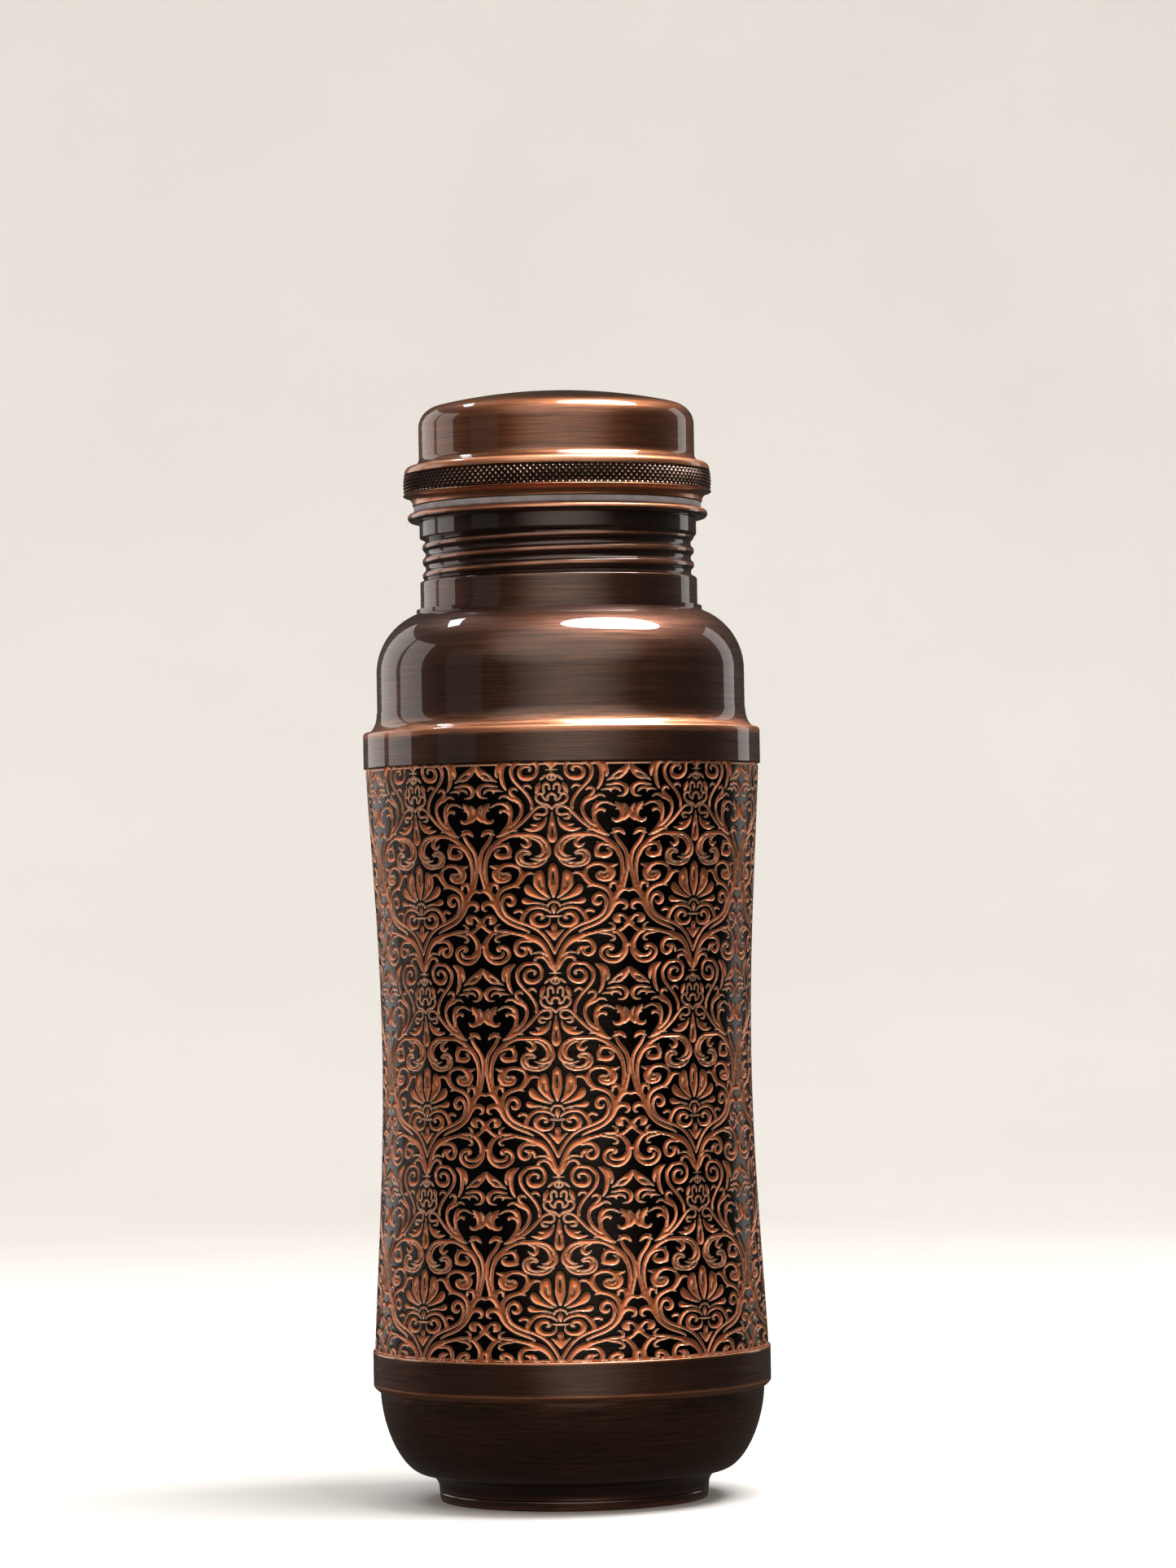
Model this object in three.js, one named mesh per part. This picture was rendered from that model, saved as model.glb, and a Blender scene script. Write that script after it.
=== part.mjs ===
// Copper water bottle: a spun and brazed body with an etched sleeve, and a screw cap
// whose threaded plug goes into the rolled thread of the neck over a silicone gasket.
// Millimetres, +Z up, origin on the axis at the plane the foot stands on.

import * as THREE from 'three';

// ---------------------------------------------------------------- driving dimensions

const segments = 32;            // facets around every turned piece

// Stock and fits
const sheet = 0.7;              // copper sheet of the spun shells
const braze = 0.1;              // gap that braze fills between two pieces
const lap = 5.4;                // how far the bowl and the shoulder reach inside the sleeve
const seat = 0.1;               // gap on each side of the gasket
const threadClearance = 0.25;   // radial play between the two threads
const plugClearance = 0.4;      // radial play between the plain plug and the neck
const gasketFit = 0.2;          // radial play between the gasket and the plug

// Foot and base
const footRadius = 25.3;
const footHeight = 1.9;
const footWidth = 1.3;
const footTaper = 0.2;          // the foot is this much wider at its top
const baseRise = 1.6;           // dish of the base disc at its middle
const baseRimWidth = 3;
const baseInset = 0.4;          // base disc above the lower edge of the bowl

// Bowl
const bowlThroat = 0.3;         // straight lower edge
const bowlFillet = 3.0;         // concave round between the foot and the bowl
const bowlRise = 15.7;          // height of the convex part
const bowlPower = 1.75;         // superellipse power of the convex part

// Sleeve and bands
const sleeveRadius = 37.25;     // at both ends
const waistDepth = 2.25;        // how far the sleeve draws in halfway up
const waistPower = 1.2;         // shape of the waist
const sleeveHeight = 109.8;
const sleeveWall = 0.8;
const bandProud = 0.4;          // bands stand out from the ends of the sleeve
const lowerBandHeight = 7.5;
const lowerBandChamfer = 0.8;
const collarHeight = 6.9;
const collarRound = 0.7;
const collarCove = 3.7;         // height of the concave round above the collar
const collarSheet = 0.7;

// Shoulder
const shoulderStep = 2.75;      // from the collar's radius in to the shoulder's
const shoulderStraight = 7.4;
const shoulderRound = 12;       // radius of the dome's section
const shoulderUpturn = 0.8;     // small collar that the dome turns up around the neck

// Neck and mouth
const neckRadius = 26.3;
const neckTail = 2.4;           // neck below the shoulder's edge, inside the bottle
const neckLowerPlain = 5.9;     // from the shoulder's edge to the thread
const neckUpperPlain = 2.8;
const threadLength = 8.7;
const threadPitch = 2.7;
const threadDepth = 0.6;        // crest to root
const threadSink = 0.8;         // middle of the thread inside the plain neck
const threadFade = 0.8;         // height over which the thread runs out
const threadRowsPerPitch = 5;
const lipReach = 2.2;           // lip beyond the neck
const lipHeight = 1.6;
const lipRound = 0.7;

// Gasket
const gasketHeight = 1.3;
const gasketReach = 1.0;        // gasket beyond the neck

// Cap
const plugWall = 0.8;
const plugFloor = 0.8;
const plugNose = 0.7;           // chamfer at the plug's lower edge
const plugBelowThread = 0.6;    // plug below the neck's thread
const flangeOverhang = 0.8;     // flange beyond the lip
const flangeSheet = 0.8;
const coveRadius = 1.8;         // concave round under the flange
const coveRim = 0.4;            // flat rim above the cove
const knurlHeight = 3.7;
const knurlWidth = 1.4;
const capEdgeInset = 0.3;       // cap's lower edge inside the knurled ring's face
const capEdgeStraight = 0.3;
const capEdgeRound = 1.2;
const capWallInset = 0.1;       // cap wall inside the neck's radius
const capWallFillet = 1.7;
const capWallHeight = 5.7;
const capCornerRound = 4;
const crownSlope = THREE.MathUtils.degToRad(13);   // slope of the crown at its edge

// ---------------------------------------------------------------- derived places

const footTopRadius = footRadius + footTaper;
const bowlBottom = footHeight + braze;
const bowlShelf = bowlBottom + bowlThroat + bowlFillet;
const lowerBandBottom = bowlShelf + bowlRise;
const lowerBandTop = lowerBandBottom + lowerBandHeight;
const sleeveBottom = lowerBandTop + braze;
const sleeveTop = sleeveBottom + sleeveHeight;
const bandRadius = sleeveRadius + bandProud;
const linerRadius = sleeveRadius - sleeveWall - braze;   // bowl and shoulder at the sleeve's ends
const collarBottom = sleeveTop + braze;
const collarEdge = collarBottom + collarHeight;
const collarTop = collarEdge + collarCove;
const shoulderRadius = bandRadius - shoulderStep;
const domeBottom = collarTop + shoulderStraight;
const domeCentre = shoulderRadius - shoulderRound;
const domeEdgeRadius = neckRadius + braze + sheet;
const domeAngle = Math.acos(THREE.MathUtils.clamp((domeEdgeRadius - domeCentre) / shoulderRound, 0, 1));
const domeTop = domeBottom + shoulderRound * Math.sin(domeAngle);
const threadBottom = domeTop + neckLowerPlain;
const threadTop = threadBottom + threadLength;
const neckBottom = domeTop - neckTail;
const neckTop = threadTop + neckUpperPlain;
const neckBore = neckRadius - sheet;
const lipBottom = neckTop + braze;
const lipTop = lipBottom + lipHeight;
const lipRadius = neckRadius + lipReach;
const gasketBottom = lipTop + seat;
const gasketTop = gasketBottom + gasketHeight;
const flangeBottom = gasketTop + seat;
const flangeRadius = lipRadius + flangeOverhang;
const plugRadius = neckBore - plugClearance;
const plugThreadRadius = neckBore - threadSink - threadClearance;
const plugBore = plugThreadRadius - threadDepth / 2 - plugWall;
const plugBottom = threadBottom - plugBelowThread;
const coveTop = flangeBottom + coveRadius;
const knurlBottom = coveTop + coveRim / 2 + braze;
const knurlTop = knurlBottom + knurlHeight;
const capBottom = knurlTop + braze;
const capEdgeRadius = flangeRadius - capEdgeInset;
const capWallRadius = neckRadius - capWallInset;

// ---------------------------------------------------------------- helpers

// Outlines are lists of [radius, height, thread share]. A closed outline runs up its
// outer side and down its inner side, which turns the faces outwards.

function arc(centreRadius, centreHeight, radius, fromDegrees, toDegrees, steps) {
  const points = [];
  for (let i = 0; i <= steps; i += 1) {
    const angle = THREE.MathUtils.degToRad(THREE.MathUtils.lerp(fromDegrees, toDegrees, i / steps));
    points.push([centreRadius + radius * Math.cos(angle), centreHeight + radius * Math.sin(angle)]);
  }
  return points;
}

function along(from, to, steps, radiusAt) {
  const points = [];
  for (let i = 0; i <= steps; i += 1) {
    const height = THREE.MathUtils.lerp(from, to, i / steps);
    points.push([radiusAt(height), height]);
  }
  return points;
}

// The same outline moved to its left by a distance, which is inwards on an upward path.
function inset(points, distance) {
  const normals = [];
  for (let i = 0; i + 1 < points.length; i += 1) {
    const run = points[i + 1][0] - points[i][0];
    const rise = points[i + 1][1] - points[i][1];
    const length = Math.hypot(run, rise);
    normals.push([-rise / length, run / length]);
  }
  return points.map(([radius, height], i) => {
    if (radius === 0) return [0, height - distance];
    const before = normals[Math.max(i - 1, 0)];
    const after = normals[Math.min(i, normals.length - 1)];
    const scale = distance / (1 + before[0] * after[0] + before[1] * after[1]);
    return [radius + (before[0] + after[0]) * scale, height + (before[1] + after[1]) * scale];
  });
}

function turned(outline) {
  const points = outline.map(([radius, height]) => new THREE.Vector2(radius, height));
  const geometry = new THREE.LatheGeometry(points, segments);
  geometry.rotateX(Math.PI / 2);
  const position = geometry.getAttribute('position');
  for (let i = 0; i < position.count; i += 1) {
    const share = outline[i % outline.length][2] ?? 0;
    const x = position.getX(i);
    const y = position.getY(i);
    const z = position.getZ(i);
    const phase = (2 * Math.PI * (z - threadBottom)) / threadPitch - Math.atan2(y, x);
    const shift = (share * threadDepth * Math.cos(phase)) / 2;
    const stretch = shift === 0 ? 1 : 1 + shift / Math.hypot(x, y);
    position.setXYZ(i, x * stretch, y * stretch, z);
  }
  geometry.computeVertexNormals();
  return geometry;
}

function ring(outer, inner) {
  return turned([...outer, ...inner.toReversed(), outer[0]]);
}

function shell(outer, thickness) {
  return ring(outer, inset(outer, thickness));
}

const blackCopper = { color: 0x3a2118, roughness: 0.3, metalness: 0.9 };
const brightCopper = { color: 0xb4633c, roughness: 0.28, metalness: 1 };
const etchedCopper = { color: 0x8a4a30, roughness: 0.35, metalness: 0.95 };
const silicone = { color: 0xbdb9b2, roughness: 0.6, metalness: 0 };

const bottle = new THREE.Group();
const gasketSlide = new THREE.Group();
const cap = new THREE.Group();
bottle.add(gasketSlide);
gasketSlide.add(cap);

function add(group, name, geometry, finish) {
  const mesh = new THREE.Mesh(geometry, new THREE.MeshStandardMaterial(finish));
  mesh.name = name;
  group.add(mesh);
}

// ---------------------------------------------------------------- foot, base and bowl

function footRing() {
  const outer = [[footRadius, 0], [footTopRadius, footHeight]];
  const inner = [[footRadius - footWidth, 0], [footTopRadius - footWidth, footHeight]];
  return ring(outer, inner);
}

function bowlOuter() {
  const shelfRadius = footTopRadius + bowlFillet;
  const reach = linerRadius - shelfRadius;
  const fillet = arc(shelfRadius, bowlBottom + bowlThroat, bowlFillet, 180, 90, 4);
  const convex = [];
  const steps = 6;
  for (let i = 1; i <= steps; i += 1) {
    const angle = (i / steps) * (Math.PI / 2);
    const outward = Math.sin(angle) ** (2 / bowlPower);
    const drop = Math.cos(angle) ** (2 / bowlPower);
    convex.push([shelfRadius + reach * outward, lowerBandBottom - bowlRise * drop]);
  }
  const skirt = along(sleeveBottom, sleeveBottom + lap, 2, linerRadiusAt);
  return [[footTopRadius, bowlBottom], ...fillet, ...convex, ...skirt];
}

function baseDisc() {
  const rimRadius = footTopRadius - sheet - braze;
  const bottom = bowlBottom + baseInset;
  const dish = rimRadius - baseRimWidth;
  return turned([
    [0, bottom + baseRise],
    [dish / 2, bottom + 0.75 * baseRise],
    [dish, bottom],
    [rimRadius, bottom],
    [rimRadius, bottom + sheet],
    [dish, bottom + sheet],
    [dish / 2, bottom + 0.75 * baseRise + sheet],
    [0, bottom + baseRise + sheet],
  ]);
}

// ---------------------------------------------------------------- sleeve and bands

function sleeveRadiusAt(height) {
  const share = THREE.MathUtils.clamp((height - sleeveBottom) / sleeveHeight, 0, 1);
  return sleeveRadius - waistDepth * Math.abs(Math.sin(Math.PI * share)) ** waistPower;
}

function linerRadiusAt(height) {
  return sleeveRadiusAt(height) - sleeveWall - braze;
}

function etchedSleeve() {
  return shell(along(sleeveBottom, sleeveTop, 12, sleeveRadiusAt), sleeveWall);
}

function lowerBand() {
  const bore = linerRadius + braze;
  const outer = [
    [bandRadius - lowerBandChamfer, lowerBandBottom],
    [bandRadius, lowerBandBottom + lowerBandChamfer],
    [bandRadius, lowerBandTop],
  ];
  return ring(outer, [[bore, lowerBandBottom], [bore, lowerBandTop]]);
}

function upperCollar() {
  const bore = shoulderRadius + braze;
  const coveCentre = bandRadius - collarRound;
  const coveReach = coveCentre - bore;
  const cove = arc(0, 0, 1, 270, 180, 3).map(([across, up]) => [
    coveCentre + coveReach * across,
    collarTop + collarCove * up,
  ]);
  const outer = [
    [bandRadius, collarBottom],
    ...arc(bandRadius - collarRound, collarEdge - collarRound, collarRound, 0, 90, 2),
    ...cove.slice(1),
  ];
  const inner = [
    [bandRadius - collarSheet, collarBottom],
    [bandRadius - collarSheet, collarEdge - collarRound - collarSheet],
    [bore + collarSheet, collarEdge - collarSheet / 2],
    [bore, collarEdge + 1.5 * collarSheet],
  ];
  return ring(outer, inner);
}

// ---------------------------------------------------------------- shoulder, neck and lip

function shoulderOuter() {
  const degrees = THREE.MathUtils.radToDeg(domeAngle);
  const dome = arc(domeCentre, domeBottom, shoulderRound, 0, degrees, 7);
  return [
    ...along(sleeveTop - lap, sleeveTop, 2, linerRadiusAt),
    [shoulderRadius, collarEdge],
    ...dome.slice(0, -1),
    [domeEdgeRadius, domeTop],
    [domeEdgeRadius, domeTop + shoulderUpturn],
  ];
}

// Share of the full thread at a height, from 0 on the plain neck to 1 in the thread.
function threadShare(height, bottom, top) {
  const fromBottom = (height - bottom) / threadFade;
  const fromTop = (top - height) / threadFade;
  return THREE.MathUtils.clamp(Math.min(fromBottom, fromTop), 0, 1);
}

function threadRows(bottom, top) {
  const steps = Math.ceil(((top - bottom) * threadRowsPerPitch) / threadPitch);
  return Array.from({ length: steps + 1 }, (_, i) => THREE.MathUtils.lerp(bottom, top, i / steps));
}

function threadedNeck() {
  const rows = [neckBottom, ...threadRows(threadBottom, threadTop), neckTop];
  const wall = (radius) => rows.map((height) => {
    const share = threadShare(height, threadBottom, threadTop);
    return [radius - share * threadSink, height, share];
  });
  return ring(wall(neckRadius), wall(neckBore));
}

function mouthLip() {
  const tip = lipRadius - lipHeight / 2;
  return ring(
    [[neckBore, lipBottom], ...arc(tip, lipBottom + lipHeight / 2, lipHeight / 2, -90, 90, 6)],
    [[neckBore, lipTop - lipRound], [neckBore + lipRound, lipTop]],
  );
}

// ---------------------------------------------------------------- gasket and cap

function gasket() {
  const bore = plugRadius + gasketFit;
  const outer = neckRadius + gasketReach;
  return ring([[outer, gasketBottom], [outer, gasketTop]], [[bore, gasketBottom], [bore, gasketTop]]);
}

function capPlug() {
  const runOut = threadTop + threadFade;
  const noseTop = plugBottom + plugNose;
  const rootRadius = plugThreadRadius - threadDepth / 2;
  const thread = threadRows(noseTop, threadTop).map((height) => {
    const share = THREE.MathUtils.clamp((height - noseTop) / threadFade, 0, 1);
    return [THREE.MathUtils.lerp(rootRadius, plugThreadRadius, share), height, share];
  });
  const flangeTop = flangeBottom + flangeSheet;
  return turned([
    [0, plugBottom],
    [rootRadius - plugNose, plugBottom],
    ...thread,
    [plugRadius, runOut],
    [plugRadius, flangeBottom],
    ...arc(flangeRadius, flangeBottom, coveRadius, 180, 90, 3),
    [flangeRadius, coveTop + coveRim / 2],
    [flangeRadius - coveRadius, coveTop + coveRim / 2],
    [flangeRadius - coveRadius - flangeSheet, flangeTop],
    [plugBore, flangeTop],
    [plugBore, plugBottom + plugFloor],
    [0, plugBottom + plugFloor],
  ]);
}

function knurledRing() {
  const bore = flangeRadius - knurlWidth;
  return ring([[flangeRadius, knurlBottom], [flangeRadius, knurlTop]], [[bore, knurlBottom], [bore, knurlTop]]);
}

function capDome() {
  const edgeBottom = capBottom + capEdgeStraight;
  const edgeTop = edgeBottom + capEdgeRound;
  const filletHeight = edgeTop + capWallFillet;
  const cornerHeight = filletHeight + capWallHeight;
  const cornerCentre = capWallRadius - capCornerRound;
  const cornerEnd = 90 - THREE.MathUtils.radToDeg(crownSlope);
  const crownEdgeRadius = cornerCentre + capCornerRound * Math.sin(crownSlope);
  const crownRadius = crownEdgeRadius / Math.sin(crownSlope);
  const crownCentre = cornerHeight + capCornerRound * Math.cos(crownSlope) - crownRadius * Math.cos(crownSlope);
  const crown = arc(0, crownCentre, crownRadius, cornerEnd, 90, 4);
  crown[crown.length - 1][0] = 0;
  const outer = [
    [capEdgeRadius, capBottom],
    ...arc(capEdgeRadius - capEdgeRound, edgeBottom, capEdgeRound, 0, 75, 3),
    ...arc(capWallRadius + capWallFillet, filletHeight, capWallFillet, 265, 180, 3),
    ...arc(cornerCentre, cornerHeight, capCornerRound, 0, cornerEnd, 3),
    ...crown.slice(1),
  ];
  return turned([...inset(outer, sheet).toReversed(), ...outer]);
}

// ---------------------------------------------------------------- the assembly

add(bottle, 'foot_ring', footRing(), brightCopper);
add(bottle, 'base_disc', baseDisc(), blackCopper);
add(bottle, 'bowl', shell(bowlOuter(), sheet), blackCopper);
add(bottle, 'lower_band', lowerBand(), blackCopper);
add(bottle, 'etched_sleeve', etchedSleeve(), etchedCopper);
add(bottle, 'upper_collar', upperCollar(), blackCopper);
add(bottle, 'shoulder', shell(shoulderOuter(), sheet), blackCopper);
add(bottle, 'threaded_neck', threadedNeck(), blackCopper);
add(bottle, 'mouth_lip', mouthLip(), brightCopper);
add(gasketSlide, 'gasket', gasket(), silicone);
add(cap, 'cap_plug', capPlug(), brightCopper);
add(cap, 'knurled_ring', knurledRing(), blackCopper);
add(cap, 'cap_dome', capDome(), blackCopper);

export default bottle;
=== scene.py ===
"""The looks of the copper water bottle: fine turned, threaded, knurled and etched meshes in brushed,
lacquered copper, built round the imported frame."""

import math

import bmesh
import bpy
import numpy as np
from mathutils import Matrix, Quaternion, Vector


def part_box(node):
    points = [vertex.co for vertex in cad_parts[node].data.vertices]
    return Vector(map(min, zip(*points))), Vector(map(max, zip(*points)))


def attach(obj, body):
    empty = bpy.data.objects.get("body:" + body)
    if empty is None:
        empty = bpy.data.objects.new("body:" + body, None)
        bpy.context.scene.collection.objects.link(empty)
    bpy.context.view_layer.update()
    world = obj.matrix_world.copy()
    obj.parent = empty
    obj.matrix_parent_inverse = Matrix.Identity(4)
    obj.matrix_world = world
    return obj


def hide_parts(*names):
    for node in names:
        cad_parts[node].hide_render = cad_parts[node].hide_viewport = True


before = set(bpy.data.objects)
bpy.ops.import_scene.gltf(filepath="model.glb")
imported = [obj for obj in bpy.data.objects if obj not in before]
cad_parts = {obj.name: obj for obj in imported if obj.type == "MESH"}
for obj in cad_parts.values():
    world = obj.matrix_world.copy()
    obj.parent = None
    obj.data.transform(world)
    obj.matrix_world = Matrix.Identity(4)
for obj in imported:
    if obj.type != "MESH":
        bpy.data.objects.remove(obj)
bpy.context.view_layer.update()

# Lengths are in millimetres until a mesh, light or camera is made.
MM = 0.001
AROUND = 288  # points round a plain turned piece
SHARP_ANGLE = 35  # degrees; edges that turn further stay crisp
ROUNDED_TURN = 40  # degrees; corners that turn less stay as they are
EDGE_STEPS = 4
ON_AXIS = 1e-7  # metres from the axis within which points are joined

# Sizes that the boxes of the frame's nodes don't say. A wear is an outline's bare value.
SHEET = 0.7  # copper sheet of the spun shells
SOFT_EDGE = 0.25  # round on a cut or turned edge
FOOT_WIDTH = 1.3
FOOT_LEAN = 0.2
FOOT_EDGE = 0.4
FOOT_WEAR = 0.5
BASE_RISE = 1.6  # dish of the base disc
BASE_RIM = 3.0
BOWL_FILLET = 3.0  # concave round above the foot
BOWL_THROAT = 0.3
BOWL_POWER = 1.75  # superellipse power of the bowl's section
WAIST_DEPTH = 2.25
WAIST_POWER = 1.2
SLEEVE_WALL = 0.8
BRAZE = 0.1
BAND_CHAMFER = 0.8
BAND_EDGE = 0.3
BAND_WEAR = 0.12  # above the chamfer
BAND_FADE = 0.5  # below the top edge's wear
COLLAR_ROUND = 0.7
COLLAR_COVE = 3.7
COLLAR_EDGE = 0.15
COLLAR_FOOT = 0.4
COLLAR_FADE = 1.12  # below the round's wear
COLLAR_WEAR = 0.85  # at the cove's outer end
SHOULDER_STEP = 2.75  # collar's edge to the shoulder's wall
SHOULDER_ROUND = 12.0
SHOULDER_UPTURN = 0.8
SHOULDER_BLEND = 0.3  # gap left in the outline below the dome
LIP_ROUND = 0.8
LIP_EDGE = 0.2
GASKET_OVERHANG = 0.2  # gasket inside the neck's bore
GASKET_EDGE = 0.3
FLANGE_COVE = 1.8
FLANGE_RIM = 0.2
FLANGE_EDGE = 0.1
PLUG_WALL = 0.8
PLUG_PLAY = 0.4  # radial, between the plain plug and the neck
PLUG_NOSE = 0.7  # from the plug's underside to its thread
PLUG_NOSE_BLEND = 0.5
PLUG_NOSE_RISE = 0.1
PLUG_FLOOR_CORNER = ((0, 0.6), (-0.2, 0.15), (-0.7, 0))  # from the bore, above the floor
CAP_WALL_INSET = 0.1  # cap's wall inside the neck's radius
CAP_EDGE_ROUND = 1.2
CAP_EDGE_STRAIGHT = 0.3
CAP_WALL_FILLET = 1.7
CAP_WALL_HEIGHT = 5.7
CAP_CORNER = 4.0
CAP_RIM_WEAR = 0.8
CAP_FILLET_WEAR = 0.15
CAP_CORNER_WEAR = 0.2
CROWN_SLOPE = 13  # degrees, at the crown's edge
CROWN_WEAR = 0.22  # at the crown's edge

THREAD_PITCH = 2.7
THREAD_DEPTH = 0.6
THREAD_STEEPNESS = 1.3
THREAD_LENGTH = 8.7
THREAD_FADE = 0.8
THREAD_SINK = 0.8  # middle of the neck's thread inside the plain neck
THREAD_PLAY = 0.25  # radial, between the two threads
THREAD_MARGIN = 0.4  # plain rows this far outside the thread
NECK_LOWER_PLAIN = 8.3  # neck below its thread
THREAD_ROWS = 28  # rows of points in one pitch
CREST_WEAR_AND_GLINT = 0.6  # copper rubbed through on the threads' crests, and a painted glint there as well
VALLEY_PAINTED_SHADE = 0.7  # share of the full painted shade between the threads
LIP_SHADE_HEIGHT = 2.0  # height above the thread where the painted shade under the lip is whole
BOWL_WEAR = 0.26  # copper rubbed through on the bowl's belly
BOWL_SHADE_HEIGHT = 6.0  # painted shade below the lower band, over this height
PAINTED_SHADE_SHINE = 0.1  # share of the brushed brightness left under painted shade

KNURL_COUNT = 150  # grooves each way round the ring
KNURL_DEPTH = 0.34
KNURL_SAMPLES = 10  # points across one groove
KNURL_CROWN = 0.18  # bulge of the knurled face
KNURL_MARGIN = 0.12  # plain edge above and below the knurl
KNURL_SHARPNESS = 1.4  # power of the groove's section
KNURL_FADE = 0.25  # height over which the grooves run out
KNURL_FADE_START = 0.05
KNURL_WALL = 1.4
KNURL_CHAMFER = 0.15
KNURL_CHAMFER_HEIGHT = 0.05
KNURL_EDGE_WEAR = 0.4

# Linear colours.
COPPER_DARK = (0.024, 0.012, 0.009, 1)
COPPER_WARM = (0.235, 0.10, 0.062, 1)
CAP_DARK = (0.06, 0.027, 0.016, 1)
CAP_WARM = (0.46, 0.155, 0.062, 1)
BARE_DEEP = (0.52, 0.18, 0.075, 1)
BARE_LIGHT = (0.86, 0.40, 0.22, 1)
TARNISH = (0.22, 0.085, 0.045, 1)
FIGURE_DEEP = (0.92, 0.26, 0.10, 1)
FIGURE_LIGHT = (1.0, 0.38, 0.17, 1)
FIGURE_PINK = (1.0, 0.36, 0.21, 1)
# A painted highlight: the lighter band inside each etched figure's edge.
FIGURE_EDGE_HIGHLIGHT = (1.0, 0.62, 0.42, 1)
GROUND_DARK = (0.010, 0.008, 0.008, 1)
GROUND_LIGHT = (0.028, 0.020, 0.018, 1)
SILICONE_DULL = (0.20, 0.175, 0.185, 1)
SILICONE_PALE = (0.30, 0.27, 0.28, 1)
FLOOR_SHADE = (0.60, 0.585, 0.565, 1)
FLOOR_LIGHT = (0.68, 0.665, 0.645, 1)
KNURL_BLACK = (0.02, 0.015, 0.013, 1)
KNURL_BROWN = (0.075, 0.045, 0.032, 1)
# Copper of the knurl's points, from wear and as a painted highlight.
KNURL_POINT_WEAR_AND_HIGHLIGHT = (0.34, 0.20, 0.145, 1)


# ---- outlines
#
# An outline is an array of (radius, height, bare) rows: bare is 1 where the dark finish is worn
# through to bright copper. A closed outline runs up its outer side and down its inner side.


def span(node):
    """Bottom, top and outer radius of a CAD node."""
    low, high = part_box(node)
    return low.z / MM, high.z / MM, high.x / MM


def rows(radius, height, bare=0.0):
    """An outline's rows, from arrays or single values."""
    return np.stack(np.broadcast_arrays(radius, height, bare), 1)


def line(*points):
    """Straight runs through (radius, height) or (radius, height, bare) points."""
    return np.array([(*point, 0.0)[:3] for point in points])


def arc(radius, height, size, start, end, bare=0.0, steps=12):
    """A round of the given size about (radius, height), from one angle to another in degrees."""
    angle = np.radians(np.linspace(start, end, steps + 1))
    return rows(radius + size * np.cos(angle), height + size * np.sin(angle), bare)


def along(bottom, top, radius_at, steps):
    """A run up from bottom to top whose radius is a function of the height."""
    height = np.linspace(bottom, top, steps + 1)
    return rows(radius_at(height), height)


def inset(outline, distance):
    """The outline moved to its left, which is inwards on an upward path."""
    run = np.diff(outline[:, :2], axis=0)
    normal = np.stack([-run[:, 1], run[:, 0]], 1) / np.hypot(run[:, 0], run[:, 1])[:, None]
    before = np.vstack([normal[:1], normal])
    after = np.vstack([normal, normal[-1:]])
    scale = distance / (1 + (before * after).sum(1))
    moved = np.zeros_like(outline)
    moved[:, :2] = outline[:, :2] + (before + after) * scale[:, None]
    on_axis = outline[:, 0] == 0
    moved[on_axis, 0] = 0
    return moved


def shell(outer, thickness):
    """The closed outline of a sheet whose outer side is given."""
    return np.vstack([outer, inset(outer, thickness)[::-1]])


def softened(outline, size):
    """A closed outline whose sharp corners are rounded."""
    made = []
    for i, corner in enumerate(outline):
        back = outline[i - 1][:2] - corner[:2]
        ahead = outline[(i + 1) % len(outline)][:2] - corner[:2]
        back_length = np.hypot(*back)
        ahead_length = np.hypot(*ahead)
        cosine = -(back @ ahead) / (back_length * ahead_length)
        if math.degrees(math.acos(np.clip(cosine, -1, 1))) < ROUNDED_TURN:
            made.append(corner)
            continue
        reach = min(size, 0.45 * back_length, 0.45 * ahead_length)
        start = corner[:2] + back / back_length * reach
        end = corner[:2] + ahead / ahead_length * reach
        for share in np.linspace(0, 1, EDGE_STEPS + 1):
            bend = start * (1 - share) ** 2 + 2 * corner[:2] * share * (1 - share) + end * share ** 2
            made.append(np.array([*bend, corner[2]]))
    return np.array(made)


# ---- meshes

# The body that each node moves with, and the record's slot for its finish.
PLACES = {
    "foot_ring": ("bottle", "bright_copper"),
    "base_disc": ("bottle", "black_copper"),
    "bowl": ("bottle", "black_copper"),
    "lower_band": ("bottle", "black_copper"),
    "etched_sleeve": ("bottle", "etched_copper"),
    "upper_collar": ("bottle", "black_copper"),
    "shoulder": ("bottle", "black_copper"),
    "threaded_neck": ("bottle", "black_copper"),
    "mouth_lip": ("bottle", "bright_copper"),
    "gasket": ("gasket", "silicone"),
    "cap_plug": ("cap", "bright_copper"),
    "knurled_ring": ("cap", "black_copper"),
    "cap_dome": ("cap", "black_copper"),
}


def turned(name, outline, around, offset=0.0, closed=False):
    """A mesh of an outline turned about the axis. offset moves its points outwards."""
    angle = np.linspace(0, 2 * math.pi, around, endpoint=False)
    radius = outline[:, :1] + offset + np.zeros(around)
    height = outline[:, 1:2] + np.zeros(around)
    points = np.stack([radius * np.cos(angle), radius * np.sin(angle), height], -1)
    index = np.arange(radius.size).reshape(radius.shape)
    lower = index if closed else index[:-1]
    upper = np.roll(index, -1, 0) if closed else index[1:]
    quads = np.stack([lower, np.roll(lower, -1, 1), np.roll(upper, -1, 1), upper], -1)
    mesh = bpy.data.meshes.new(name)
    mesh.from_pydata(points.reshape(-1, 3) * MM, [], quads.reshape(-1, 4))
    return mesh


def placed(name, data):
    """An object of the data, in the scene."""
    made = bpy.data.objects.new(name, data)
    bpy.context.scene.collection.objects.link(made)
    return made


def shown(mesh, finish):
    """A smooth-shaded object of the mesh, in the scene."""
    mesh.shade_smooth()
    mesh.materials.append(finish)
    return placed(mesh.name, mesh)


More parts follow.
